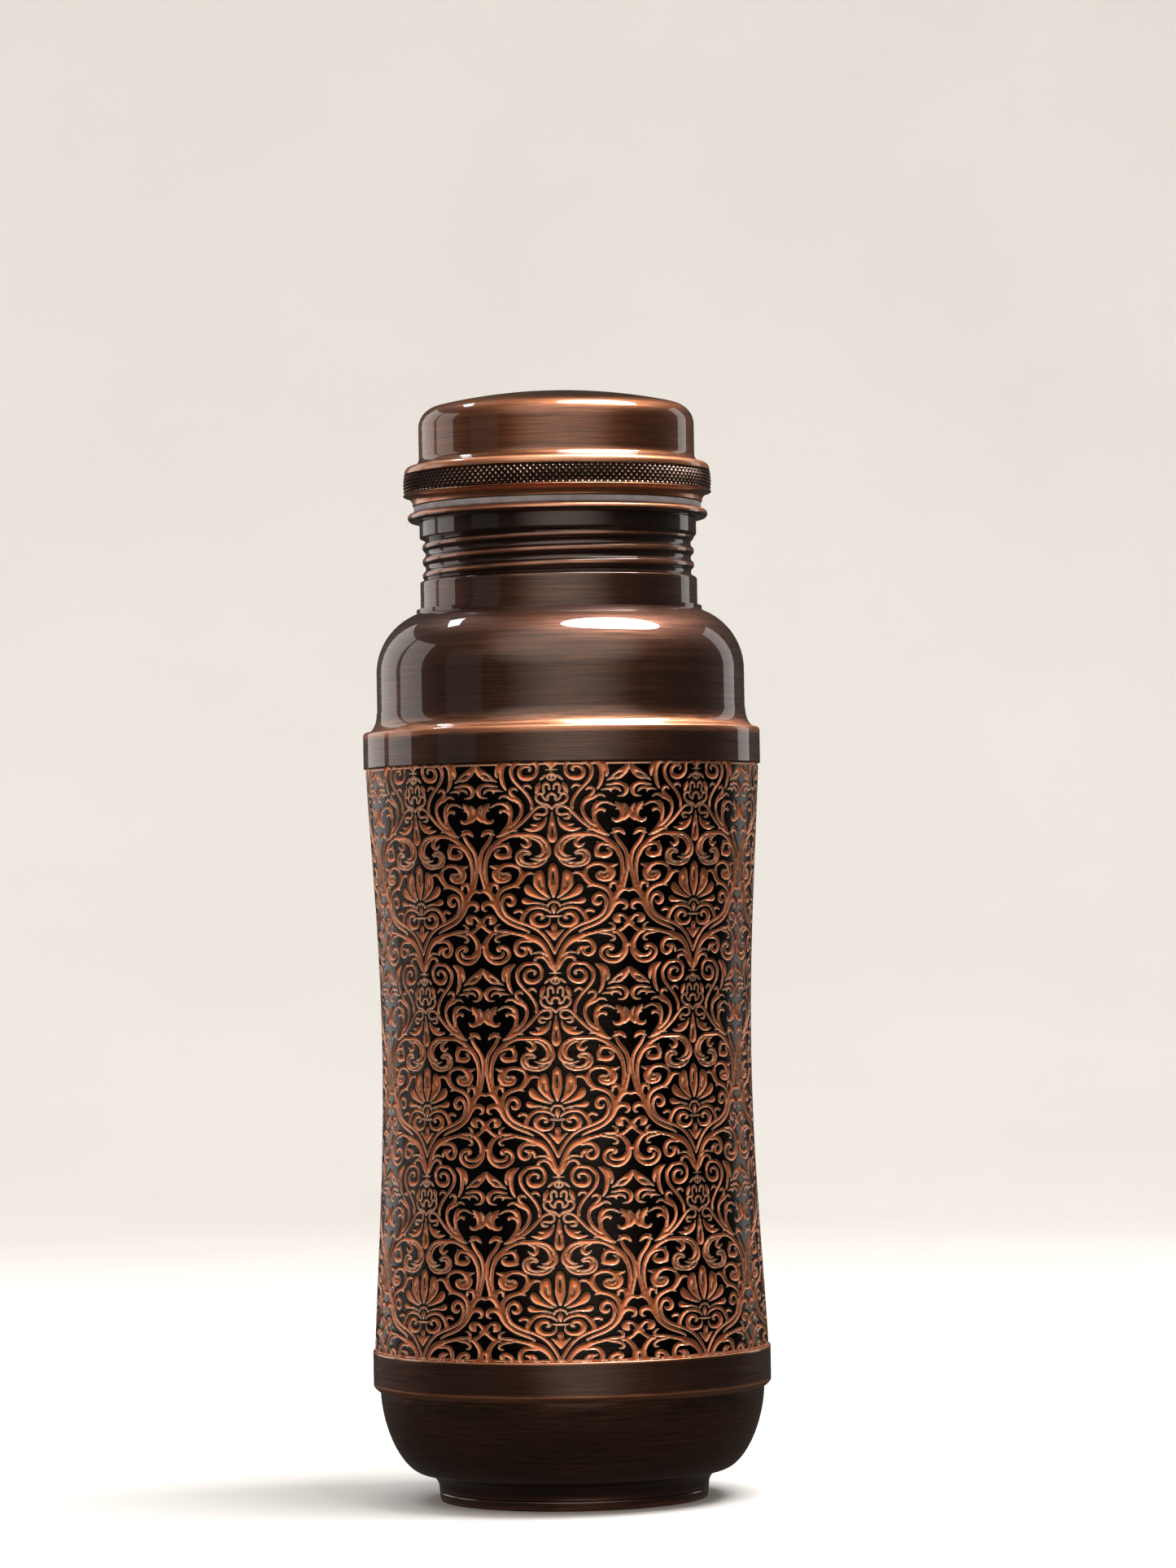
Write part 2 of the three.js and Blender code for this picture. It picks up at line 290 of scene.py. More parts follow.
def piece(node, finish, outline, offset=0.0, around=AROUND, closed=True, relief=None):
    """Turns an outline into the piece that stands for a CAD node, and keeps relief at each of its
    points for the finish to read."""
    mesh = turned(node, outline, around, offset, closed)
    step = np.hypot(*np.diff(outline[:, :2], axis=0, prepend=outline[:1, :2]).T)
    run = np.cumsum(step)[:, None] + np.zeros(around)
    bare = outline[:, 2:3] + np.zeros(around)
    layers = {"run": run, "bare": bare}
    if relief is not None:
        layers["relief"] = relief + np.zeros(around)
    for layer, values in layers.items():
        kept = mesh.attributes.new(layer, "FLOAT", "POINT")
        kept.data.foreach_set("value", np.ascontiguousarray(values, np.float32).ravel())
    if not closed:
        close_on_axis(mesh)
    made = shown(mesh, finish)
    mesh.set_sharp_from_angle(angle=math.radians(SHARP_ANGLE))
    rides_on, slot = PLACES[node]
    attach(made, rides_on)
    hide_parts(node)


def close_on_axis(mesh):
    """Joins the points of an outline's two ends, which lie on the axis."""
    edit = bmesh.new()
    edit.from_mesh(mesh)
    on_axis = [v for v in edit.verts if math.hypot(v.co.x, v.co.y) < ON_AXIS]
    bmesh.ops.remove_doubles(edit, verts=on_axis, dist=ON_AXIS)
    edit.to_mesh(mesh)
    edit.free()


# ---- the damask
#
# A traditional damask, drawn on half a cell: the other half mirrors it, and the cell
# repeats round and down the sleeve. Each stroke is a smooth curve through (across, down, width)
# points: across from the palmette's axis, down from its tip.

COLUMN_ANGLE = 45  # degrees from one palmette to the next
HALF_CELL = 14.08  # width of the half cell, on paper
CELL_HEIGHT = 37.33
CELL_STEP = CELL_HEIGHT / 400
FAR = 1.0  # distances to a stroke are kept up to this
PALMETTE_TIP = 119.7  # height of one palmette's tip
PALMETTE_ANGLE = math.radians(-92.8)
ETCH_DEPTH = 0.22
ETCH_WALL = 0.3  # width of the slope from the ground down to the copper
BORDER_INSET = 0.3  # middle of the copper line at each end of the sleeve
BORDER_WIDTH = 0.4
RELIEF_STEP = 0.25  # between rows of points on the sleeve
RELIEF_COLUMNS = 960

# The palmette, its base and the two volutes below it.
PALMETTE = [
    [(0, -0.1, 0.3), (0, 0.6, 1.4), (0, 1.6, 2.05), (0, 2.6, 2.2), (0, 3.8, 1.8), (0, 5, 1.1),
     (0, 6, 0.45)],
    [(0.7, 6.25, 0.25), (1.45, 5.45, 0.8), (2.2, 4.35, 1.6), (2.65, 3.2, 2.2), (2.6, 2.2, 1.9),
     (2.3, 1.5, 0.9)],
    [(1.1, 6.6, 0.2), (2.2, 6.15, 0.6), (3.4, 5.55, 1.05), (4.3, 4.95, 1.5), (4.75, 4.4, 1.35),
     (4.75, 3.95, 0.6)],
    [(1.1, 7.65, 0.15), (2.2, 7.25, 0.35), (3.4, 7, 0.45), (4.5, 6.9, 0.8), (5.2, 6.7, 1.15),
     (5.5, 6.6, 0.9)],
    [(0, 6.85, 0.45), (0.55, 6.95, 0.45), (1, 7.35, 0.4), (1.15, 7.8, 0.3)],
    [(0, 7.5, 0.3), (0, 8, 0.95), (0, 8.6, 0.6), (0, 9.1, 0.25)],
    [(0, 9.55, 0.4), (1.35, 9.5, 0.35)],
    [(0.6, 8.95, 0.3), (1.1, 8.45, 0.45), (1.9, 8.05, 0.55), (3, 7.85, 0.6), (4.2, 8, 0.65),
     (5.1, 8.6, 0.75), (5.75, 9.5, 0.85), (5.95, 10.2, 0.8), (5.6, 10.8, 0.35)],
    [(5.6, 8.95, 0.5), (6.1, 8.5, 0.55), (6.8, 8.45, 0.6), (7.35, 8.75, 0.5)],
    [(0.75, 10, 0.25), (0.9, 10.6, 0.5), (1.6, 11.15, 0.7), (2.7, 11.25, 0.75), (3.7, 10.8, 0.95),
     (4.1, 10, 1.05), (3.7, 9.25, 0.95), (2.9, 8.95, 0.75), (2.15, 9.2, 0.6), (1.95, 9.75, 0.5),
     (2.45, 9.95, 0.4)],
    [(0, 11.4, 1.1), (0, 12.4, 0.9), (0, 13.1, 1.3), (0, 13.95, 0.15)],
    [(1.95, 12, 0.1), (1.2, 12.35, 0.5), (0.5, 12.75, 1.1), (0, 13, 1.4)],
]

# The pointed frame round the palmette.
FRAME = [
    [(8.8, 6.95, 0.3), (8.5, 7.3, 0.55), (7.9, 7.3, 0.85), (7.4, 6.85, 0.9), (7.5, 6.1, 0.85),
     (8.2, 5.6, 0.8), (9.1, 5.8, 0.75), (9.6, 6.6, 0.7), (9.65, 7.6, 0.65), (9.25, 8.7, 0.65),
     (8.45, 9.55, 0.65), (7.25, 10.2, 0.65), (6, 10.7, 0.6), (4.6, 11.2, 0.6), (3.1, 12, 0.6),
     (2, 12.95, 0.65), (1.15, 14.05, 0.65), (0.5, 15.2, 0.6), (0, 16.3, 0.5)],
    [(6.1, 0.9, 0.5), (5.75, 1.6, 0.9), (5.9, 2.4, 1.1), (6.4, 3.15, 1), (7.2, 3.7, 0.8), (8.2, 4, 0.75),
     (9.1, 4.3, 0.8), (9.95, 4.85, 0.85), (10.5, 5.6, 0.9), (10.75, 6.6, 1), (10.75, 7.8, 1.15),
     (10.3, 8.9, 0.95), (9.55, 9.8, 0.8), (8.6, 10.55, 0.7), (7.4, 11.15, 0.65), (5.9, 11.7, 0.6),
     (4.6, 12.4, 0.35)],
    [(3.45, 1.85, 0.2), (4, 1.6, 0.45), (4.7, 1.6, 0.6), (5.3, 1.9, 0.8), (5.8, 2.5, 0.9)],
    [(6.15, 4.3, 0.2), (6.6, 4.1, 0.4), (7.2, 3.85, 0.6)],
]

# Scrolls between the frames.
SCROLLS = [
    [(5.8, 1.1, 0.3), (6.4, 0.5, 0.6), (7.3, 0.1, 0.65), (8.4, 0, 0.65), (9.3, 0.2, 0.75), (10.1, 0.7, 1),
     (10.8, 1.5, 1.3), (10.75, 2.3, 1.1), (10.1, 2.9, 0.8), (9.1, 2.95, 0.7), (8.3, 2.6, 0.7),
     (8, 2, 0.6), (8.4, 1.6, 0.5), (9, 1.6, 0.4)],
    [(9, 2.1, 1.2), (9.6, 2, 1.4)],
    [(10.4, 0.4, 0.8), (11.2, 0.35, 0.55), (11.9, 0.15, 0.3)],
    [(10.5, 4.4, 0.4), (10.5, 3.8, 0.6), (11, 3.45, 0.7), (11.6, 3.6, 0.8), (12, 4.2, 0.9),
     (12.1, 4.9, 1)],
    [(14.08, 4.95, 0.6), (13.3, 4.75, 0.6), (12.6, 4.9, 0.9), (11.9, 5.4, 1.1), (11.4, 6.2, 1.1),
     (11.1, 7, 1)],
]

# Stems that rise between the columns.
STEMS = [
    [(11.35, -5.3, 0.6), (11.9, -4.3, 0.7), (12.8, -3.2, 0.75), (13.4, -2.2, 0.75), (13.7, -1, 0.75),
     (13.75, 0.3, 0.7), (13.6, 1.6, 0.7), (13.3, 2.8, 0.75), (12.95, 4, 0.8), (12.7, 4.8, 0.8)],
    [(10.4, -3.95, 0.8), (11.4, -3.15, 0.85), (12.1, -2.1, 0.85), (12.55, -0.9, 0.8), (12.75, 0.4, 0.75),
     (12.75, 1.8, 0.75), (12.6, 3, 0.75), (12.4, 4.2, 0.8)],
    [(10.65, 31.85, 0.25), (11.3, 31.45, 0.55), (12, 31.2, 0.85), (12.6, 31.4, 0.8), (13, 31.8, 0.55),
     (13.3, 32.1, 0.2)],
    [(10.85, 31.05, 0.2), (11.4, 31, 0.4), (12, 31.05, 0.7)],
    [(10.9, 7.9, 0.9), (11.6, 7.15, 0.9), (12.5, 6.95, 0.9), (13.3, 7.2, 0.9), (13.6, 7.8, 0.65),
     (13.35, 8.3, 0.45), (12.85, 8.45, 0.3)],
]

# Scrolls where two columns meet.
CROSSING = [
    [(14.08, 10.5, 1.2), (13.6, 10.1, 0.7), (13, 9.6, 0.55), (12.3, 9.4, 0.6), (11.6, 9.7, 1),
     (11.4, 10.2, 1), (11.8, 10.7, 0.5), (12.5, 10.85, 0.25)],
    [(11.6, 10, 1.1), (11.9, 10.2, 1)],
    [(14.08, 10.7, 1.3), (13.5, 11.35, 0.7), (12.9, 11.9, 0.6), (12, 12.35, 0.7), (11.2, 12.5, 0.6)],
    [(13, 11.05, 0.2), (13.5, 11, 0.5)],
    [(10.1, 10.95, 0.2), (10.7, 11.05, 0.4), (11.15, 11.5, 0.6), (11, 12, 0.6), (10.2, 12.15, 0.5),
     (9.2, 12.15, 0.5), (8.2, 12.35, 0.5), (7, 12.6, 0.5)],
    [(10.35, 14.15, 0.3), (10.95, 14.1, 0.4), (11.25, 13.75, 0.5), (11, 13.3, 0.55), (10.4, 12.95, 0.55),
     (9.4, 12.75, 0.55), (8.3, 12.55, 0.5)],
    [(11, 12.4, 0.5), (11.6, 12.55, 0.6), (12.3, 13, 0.8), (12.9, 13.7, 0.9), (13.3, 14.6, 1),
     (13.35, 15.5, 1.1), (13.3, 16.3, 1), (12.8, 17.2, 0.8), (11.9, 17.85, 0.75), (10.8, 18.05, 0.7),
     (9.7, 17.75, 0.7), (8.9, 17.1, 0.75), (8.6, 16.3, 0.75), (8.9, 15.55, 0.75), (9.7, 15.1, 0.75),
     (10.4, 15.05, 0.7), (10.85, 15.4, 0.7), (10.6, 15.75, 0.55), (10.3, 15.7, 0.4)],
    [(9.75, 16.15, 0.6), (9.95, 16.65, 0.65), (10.6, 16.95, 0.6), (11.5, 16.95, 0.65), (12.3, 16.65, 0.8),
     (13, 16, 0.9)],
    [(14.08, 14.8, 0.75), (13.6, 14.85, 0.8), (13.2, 15.2, 0.9)],
]

# Leaves beside the throat.
LEAVES = [
    [(9.9, 22.15, 0.25), (10.6, 21.7, 0.55), (11.3, 21.3, 1), (12.1, 20.95, 1.4), (12.9, 20.45, 1.5),
     (13.5, 19.85, 1.1), (13.85, 19.15, 0.4)],
    [(10.95, 21.85, 0.2), (11.7, 21.75, 0.4), (12.5, 21.35, 0.7)],
    [(7.5, 18.35, 0.25), (8.3, 18.75, 0.85), (8.9, 19.6, 1), (9, 20.6, 0.85), (8.95, 21.6, 0.8),
     (8.7, 22.6, 0.7), (8.2, 23.65, 0.35)],
    [(8.6, 18.6, 0.6), (9.4, 19.2, 1), (9.85, 20.1, 0.8), (9.95, 20.8, 0.6), (9.8, 21.4, 0.3)],
    [(9.7, 23, 0.25), (10.8, 22.75, 0.5), (11.8, 22.6, 0.55), (12.8, 22.8, 0.7), (13.45, 23.4, 0.9),
     (13.5, 24.1, 0.8), (13.1, 24.75, 0.55), (12.4, 25, 0.35), (11.8, 25, 0.25)],
    [(8.7, 23.95, 0.2), (9.6, 23.7, 0.4), (10.5, 23.6, 0.55), (11.4, 23.45, 0.5), (12.1, 23.7, 0.5),
     (12.5, 24.25, 0.25)],
    [(10.5, 23.9, 0.4), (10.75, 24.25, 0.25)],
    [(11.45, 26.1, 0.25), (12, 26.6, 0.9), (12.6, 27.2, 1.2), (12.85, 28.1, 1.1), (12.6, 29, 1),
     (11.9, 29.45, 0.75), (11.2, 29.4, 0.6), (10.85, 29.05, 0.4)],
    [(11.55, 27.4, 0.25), (12.1, 27.2, 0.5), (12.5, 27.3, 0.7)],
    [(13.05, 26.35, 0.2), (13.5, 26.9, 0.55), (13.8, 27.7, 0.8), (13.7, 28.5, 0.9), (13.1, 29.1, 0.8)],
]

# The throat under the frame, with its curls and the big spiral.
THROAT = [
    [(7.9, 12.55, 0.5), (6.7, 12.75, 0.6), (5.4, 13.05, 0.8), (4.2, 13.5, 1.2), (3.1, 13.95, 1.2),
     (2.15, 14.8, 1), (1.5, 15.8, 0.9), (1.05, 16.8, 0.85), (0.7, 17.7, 0.8), (0.25, 18.7, 0.7),
     (0, 19, 0.6)],
    [(4.4, 14.1, 0.5), (5.4, 13.95, 0.55), (6.4, 14, 0.8), (7.1, 14.6, 0.9), (7.3, 15.5, 0.9),
     (7, 16.3, 0.8), (6.3, 16.65, 0.7), (5.6, 16.4, 0.7), (5.3, 15.9, 0.7), (5.5, 15.4, 0.6),
     (6, 15.2, 0.5), (6.4, 15.2, 0.25)],
    [(4.4, 16.4, 0.4), (4.4, 15.8, 0.6), (4.8, 15.3, 0.6), (5.4, 15.2, 0.6)],
    [(1, 17, 0.6), (1.7, 16.5, 0.5), (2.5, 16.15, 0.45), (3.3, 16.15, 0.4), (4.1, 16.4, 0.2)],
    [(0.55, 19.3, 0.3), (0.9, 18.6, 0.6), (1.3, 17.8, 0.7), (1.9, 17.15, 0.65), (2.7, 16.95, 0.5),
     (3.4, 17.1, 0.6), (3.75, 17.5, 0.5), (3.55, 17.8, 0.3)],
    [(0, 18.3, 0.6), (0, 19, 1), (0, 19.7, 0.5)],
    [(0, 20.05, 0.3), (1.05, 20, 0.25)],
    [(3.9, 20.15, 0.45), (3.6, 19.8, 0.4), (4, 19.45, 0.45), (4.8, 19.35, 0.6), (5.5, 19.8, 0.7),
     (5.7, 20.6, 0.75), (5.3, 21.3, 0.9), (4.4, 21.55, 0.95), (3.4, 21.35, 0.8), (2.7, 20.7, 0.7),
     (2.5, 19.9, 0.6), (2.6, 19.1, 0.7), (3.1, 18.4, 0.7), (3.9, 18.1, 0.6), (4.8, 18.2, 0.6),
     (5.7, 18.3, 0.65), (6.5, 18.9, 0.75), (7.1, 19.7, 0.75), (7.15, 20.7, 0.7), (6.85, 21.6, 0.65),
     (6.1, 22.6, 0.6), (5.2, 23.5, 0.6), (4.45, 24.4, 0.6), (3.9, 25.3, 0.6), (3.6, 26.2, 0.6),
     (3.65, 27.1, 0.5)],
    [(3.6, 23.4, 0.3), (4, 22.9, 0.5), (4.5, 22.75, 0.5), (5.1, 23.1, 0.5)],
]

# The seed head.
SEED_HEAD = [
    [(0, 20.65, 0.5), (0.55, 20.95, 0.45), (0.75, 21.5, 0.35), (0.35, 21.9, 0.3), (0, 22, 0.3)],
    [(0, 21.2, 0.4), (0, 21.5, 0.4)],
    [(1.1, 21, 0.35), (1.5, 21.4, 0.5), (2, 21.85, 0.25)],
    [(0.4, 23.6, 0.4), (0.45, 22.9, 0.45), (0.95, 22.45, 0.5), (1.4, 22.9, 0.45), (1.4, 23.7, 0.45),
     (1.25, 24.3, 0.25)],
    [(2.1, 22.5, 0.4), (2.4, 23.1, 0.9), (2.6, 23.7, 0.7), (2.8, 24.3, 0.3)],
    [(0, 24.35, 0.5), (0.55, 24.6, 0.5), (0.75, 25.15, 0.45), (0.65, 25.55, 0.35), (1.1, 25.5, 0.4),
     (1.5, 25.1, 0.4), (1.7, 24.6, 0.35)],
    [(1.7, 24.4, 0.5), (2.2, 24.3, 0.5), (2.7, 24.7, 0.5), (2.75, 25.3, 0.5), (2.3, 25.9, 0.5),
     (1.6, 26.2, 0.45), (0.9, 26.35, 0.45), (0.4, 26.7, 0.45), (0, 27.1, 0.5)],
]

# The bow under the seed head, its drop and its sprays.
BOW = [
    [(0.85, 27.4, 0.45), (1.05, 26.9, 0.45), (1.6, 26.7, 0.45), (2.4, 26.8, 0.5), (3.1, 27.2, 0.55),
     (3.8, 27.9, 0.6), (4.6, 28.75, 0.65), (5.5, 29.6, 0.65), (6.5, 30.4, 0.6), (7.4, 30.9, 0.7),
     (8.4, 31.3, 0.8), (9.3, 31.75, 0.6), (10.3, 32.2, 0.25)],
    [(0.85, 27.4, 0.45), (1, 27.9, 0.5), (1.5, 28.2, 0.5), (2.1, 28.2, 0.45), (2.7, 28.05, 0.5),
     (3.15, 28.4, 0.5), (3, 28.85, 0.5), (2.5, 29, 0.4), (1.9, 28.95, 0.2)],
    [(6.2, 31.2, 0.2), (7.2, 31, 0.5), (8.3, 31.1, 0.7)],
    [(0.95, 28.7, 0.2), (1.4, 29.6, 0.7), (2.1, 30.3, 1.1), (3, 30.8, 1), (4, 30.95, 0.7),
     (5.2, 30.8, 0.2)],
    [(2.2, 29.9, 0.5), (3, 30.1, 0.6), (3.9, 30.05, 0.2)],
    [(0, 27.6, 0.15), (0, 28.8, 0.7), (0, 30.2, 1.2), (0, 31.4, 1.65), (0, 32.2, 1.8), (0, 32.7, 1.4)],
    [(6.1, 23.85, 0.25), (6.6, 23.4, 0.5), (7.2, 23.4, 0.6), (7.5, 23.9, 0.6), (7.2, 24.5, 0.6),
     (6.5, 25.1, 0.7), (5.85, 25.8, 0.75), (5.45, 26.8, 0.65), (5.55, 27.8, 0.65), (6.05, 28.8, 0.65),
     (6.8, 29.6, 0.65), (7.6, 30.2, 0.6), (8.2, 30.6, 0.5)],
    [(5.9, 26, 0.5), (6.6, 25.55, 0.6), (7.4, 25.15, 0.7), (8.2, 24.75, 0.5), (9, 24.75, 0.45),
     (9.65, 25.2, 0.25)],
    [(7.7, 27, 0.8), (8.2, 26.4, 0.8), (9, 26.1, 0.5), (9.9, 26.1, 0.45), (10.7, 26.45, 0.4),
     (11.35, 26.85, 0.2)],
    [(8.1, 25.85, 0.2), (7.9, 26.4, 0.6)],
    [(7.7, 28, 0.6), (8.2, 27.5, 0.6), (8.9, 27.35, 0.55), (9.4, 27.5, 0.6), (9.4, 27.8, 0.4)],
    [(7.8, 26.6, 0.9), (7.5, 27.6, 0.8), (7.55, 28.6, 0.75), (7.8, 29.6, 0.7), (8.25, 30.4, 0.8),
     (8.8, 31.2, 0.9), (9.5, 31.8, 0.6), (10.3, 32.2, 0.3)],
]

# The pair of swirls above the next palmette.
SWIRL = [
    [(11.4, 34.18, 0.85), (10.4, 33.3, 0.8), (9.2, 32.6, 0.75), (7.6, 32, 0.65), (6, 31.9, 0.7),
     (4.5, 31.9, 0.65), (3.2, 32, 0.6), (2, 32.5, 0.6), (1.1, 33.4, 0.65), (0.65, 34.6, 0.75),
     (0.85, 35.6, 0.8), (1.6, 36.2, 0.65), (2.6, 36.45, 0.5), (3.6, 36.35, 0.35), (4.3, 36.2, 0.15)],
    [(4.4, 32.35, 0.4), (3.3, 32.6, 0.5), (2.4, 33.1, 0.6), (1.75, 33.9, 0.75), (1.6, 34.8, 0.8),
     (2, 35.5, 0.6), (2.7, 35.85, 0.35), (3.3, 35.85, 0.15)],
    [(3.95, -2, 0.3), (4.5, -2.45, 0.45), (5.4, -2.65, 0.5), (6.2, -2.3, 0.55), (6.6, -1.5, 0.6),
     (6.4, -0.6, 0.65), (5.6, 0.05, 0.6), (4.4, 0.3, 0.6), (3.2, 0.3, 0.6), (2, -0.1, 0.5),
     (1, -0.8, 0.2)],
    [(4.2, -1.75, 0.3), (4.9, -1.95, 0.4), (5.6, -1.8, 0.6), (5.75, -1.1, 0.7), (5.3, -0.4, 0.6),
     (4.4, -0.1, 0.5), (3.2, -0.25, 0.4), (2.2, -0.45, 0.2)],
    [(5.7, 32.35, 0.3), (5, 32.5, 0.5), (4.4, 32.9, 0.7), (4.2, 33.5, 0.9), (4.6, 34, 0.7),
     (5.3, 33.9, 0.5), (5.8, 33.55, 0.25)],
    [(12.2, -1.6, 0.8), (11.6, -2.6, 0.7), (10.6, -3.3, 0.6), (9.5, -3.6, 0.6), (8.6, -3.6, 0.7),
     (8.05, -3, 0.85), (7.95, -2.2, 0.85), (8.4, -1.65, 0.9), (9.2, -1.5, 1), (10.1, -1.6, 1),
     (10.6, -2, 0.7), (10.4, -2.5, 0.5), (9.8, -2.75, 0.25)],
    [(8, -4.1, 0.2), (8.3, -3.7, 0.5)],
    [(7.5, -1.45, 0.2), (8.2, -1.35, 0.5)],
]

# Gaps cut out of the strokes.
GAPS = [
    [(0, 1.2, 0.2), (0, 2.2, 0.45), (0, 3.3, 0.2)],
    [(2.55, 2.75, 0.15), (2.5, 3.5, 0.25), (2.2, 4.3, 0.12)],
    [(8.7, 1.75, 0.12), (9.3, 2, 0.25), (9.75, 1.8, 0.2), (9.9, 1.4, 0.15)],
    [(10.95, 3.95, 0.12), (11.35, 3.9, 0.2)],
    [(11.1, 21.55, 0.12), (11.9, 21.05, 0.35), (12.7, 20.65, 0.2)],
    [(13, 26.6, 0.12), (13.3, 27.4, 0.2), (13.35, 28.1, 0.15)],
    [(0, 30.2, 0.15), (0, 31.2, 0.4), (0, 32, 0.35)],
    [(5, -2.25, 0.1), (5.8, -2.15, 0.12), (6.2, -1.5, 0.12), (6, -0.7, 0.12), (5.2, -0.05, 0.12),
     (4, 0.15, 0.1)],
]

STROKES = PALMETTE + FRAME + SCROLLS + STEMS + CROSSING + LEAVES + THROAT + SEED_HEAD + BOW + SWIRL


# ---- the damask's relief


def smooth_path(stroke, steps=6):
    """A smooth curve through a stroke's points, by Catmull and Rom."""
    points = np.array(stroke)
    points = np.vstack([2 * points[0] - points[1], points, 2 * points[-1] - points[-2]])
    share = np.linspace(0, 1, steps, endpoint=False)[:, None]
    parts = []
    for a, b, c, d in zip(points, points[1:], points[2:], points[3:]):
        bend = 2 * a - 5 * b + 4 * c - d
        twist = 3 * (b - c) + d - a
        parts.append(b + 0.5 * ((c - a) * share + bend * share ** 2 + twist * share ** 3))
    return np.vstack([*parts, points[-2:-1]])


def distance_to(strokes):
    """On the half cell's grid, how far each point lies outside the nearest stroke, in mm."""
    rows = int(round(CELL_HEIGHT / CELL_STEP))
    columns = int(round(HALF_CELL / CELL_STEP)) + 1
    nearest = np.full((rows, columns), FAR)
    for stroke in strokes:
        path = smooth_path(stroke)
        for fold in (1, -1):
            for aside in (0, 2 * HALF_CELL):
                for shift in (-CELL_HEIGHT, 0, CELL_HEIGHT):
                    copy = path * (fold, 1, 1) + (aside, shift, 0)
                    for start, end in zip(copy, copy[1:]):
                        lower_to_segment(nearest, start, end)
    return nearest


def lower_to_segment(nearest, start, end):
    """Lowers the distances near one straight bit of a stroke, whose width runs evenly along it."""
    low = np.floor((np.minimum(start, end)[:2] - FAR) / CELL_STEP).astype(int).clip(0)
    high = np.ceil((np.maximum(start, end)[:2] + FAR) / CELL_STEP).astype(int).clip(0) + 1
    window = (slice(low[1], high[1]), slice(low[0], high[0]))
    here = nearest[window]
    if here.size == 0:
        return
    down, across = np.mgrid[low[1]:low[1] + here.shape[0], low[0]:low[0] + here.shape[1]] * CELL_STEP
    step = end - start
    share = ((across - start[0]) * step[0] + (down - start[1]) * step[1]) / (step[0] ** 2 + step[1] ** 2)
    share = share.clip(0, 1)
    gap = np.hypot(across - start[0] - share * step[0], down - start[1] - share * step[1])
    np.minimum(here, gap - (start[2] + share * step[2]) / 2, out=here)


def cell_relief():
    return np.maximum(distance_to(STROKES), -distance_to(GAPS))


def relief_at(angle, height):
    """Distance in mm to the copper figure, below 0 inside it, at each (height, angle) of the sleeve."""
    cell = cell_relief()
    turn = np.degrees(angle - PALMETTE_ANGLE) % COLUMN_ANGLE
    across = np.minimum(turn, COLUMN_ANGLE - turn) / (COLUMN_ANGLE / 2) * (cell.shape[1] - 1)
    down = ((PALMETTE_TIP - height) % CELL_HEIGHT) / CELL_STEP
    left = np.floor(across).astype(int).clip(0, cell.shape[1] - 2)
    above = np.floor(down).astype(int)
    aside = across - left
    below = (down - above)[:, None]
    upper = cell[above % len(cell)]
    lower = cell[(above + 1) % len(cell)]
    rows = upper * (1 - below) + lower * below
    return rows[:, left] * (1 - aside) + rows[:, left + 1] * aside


def smooth_step(low, high, value):
    share = np.clip((value - low) / (high - low), 0, 1)
    return share ** 2 * (3 - 2 * share)


# ---- finishes


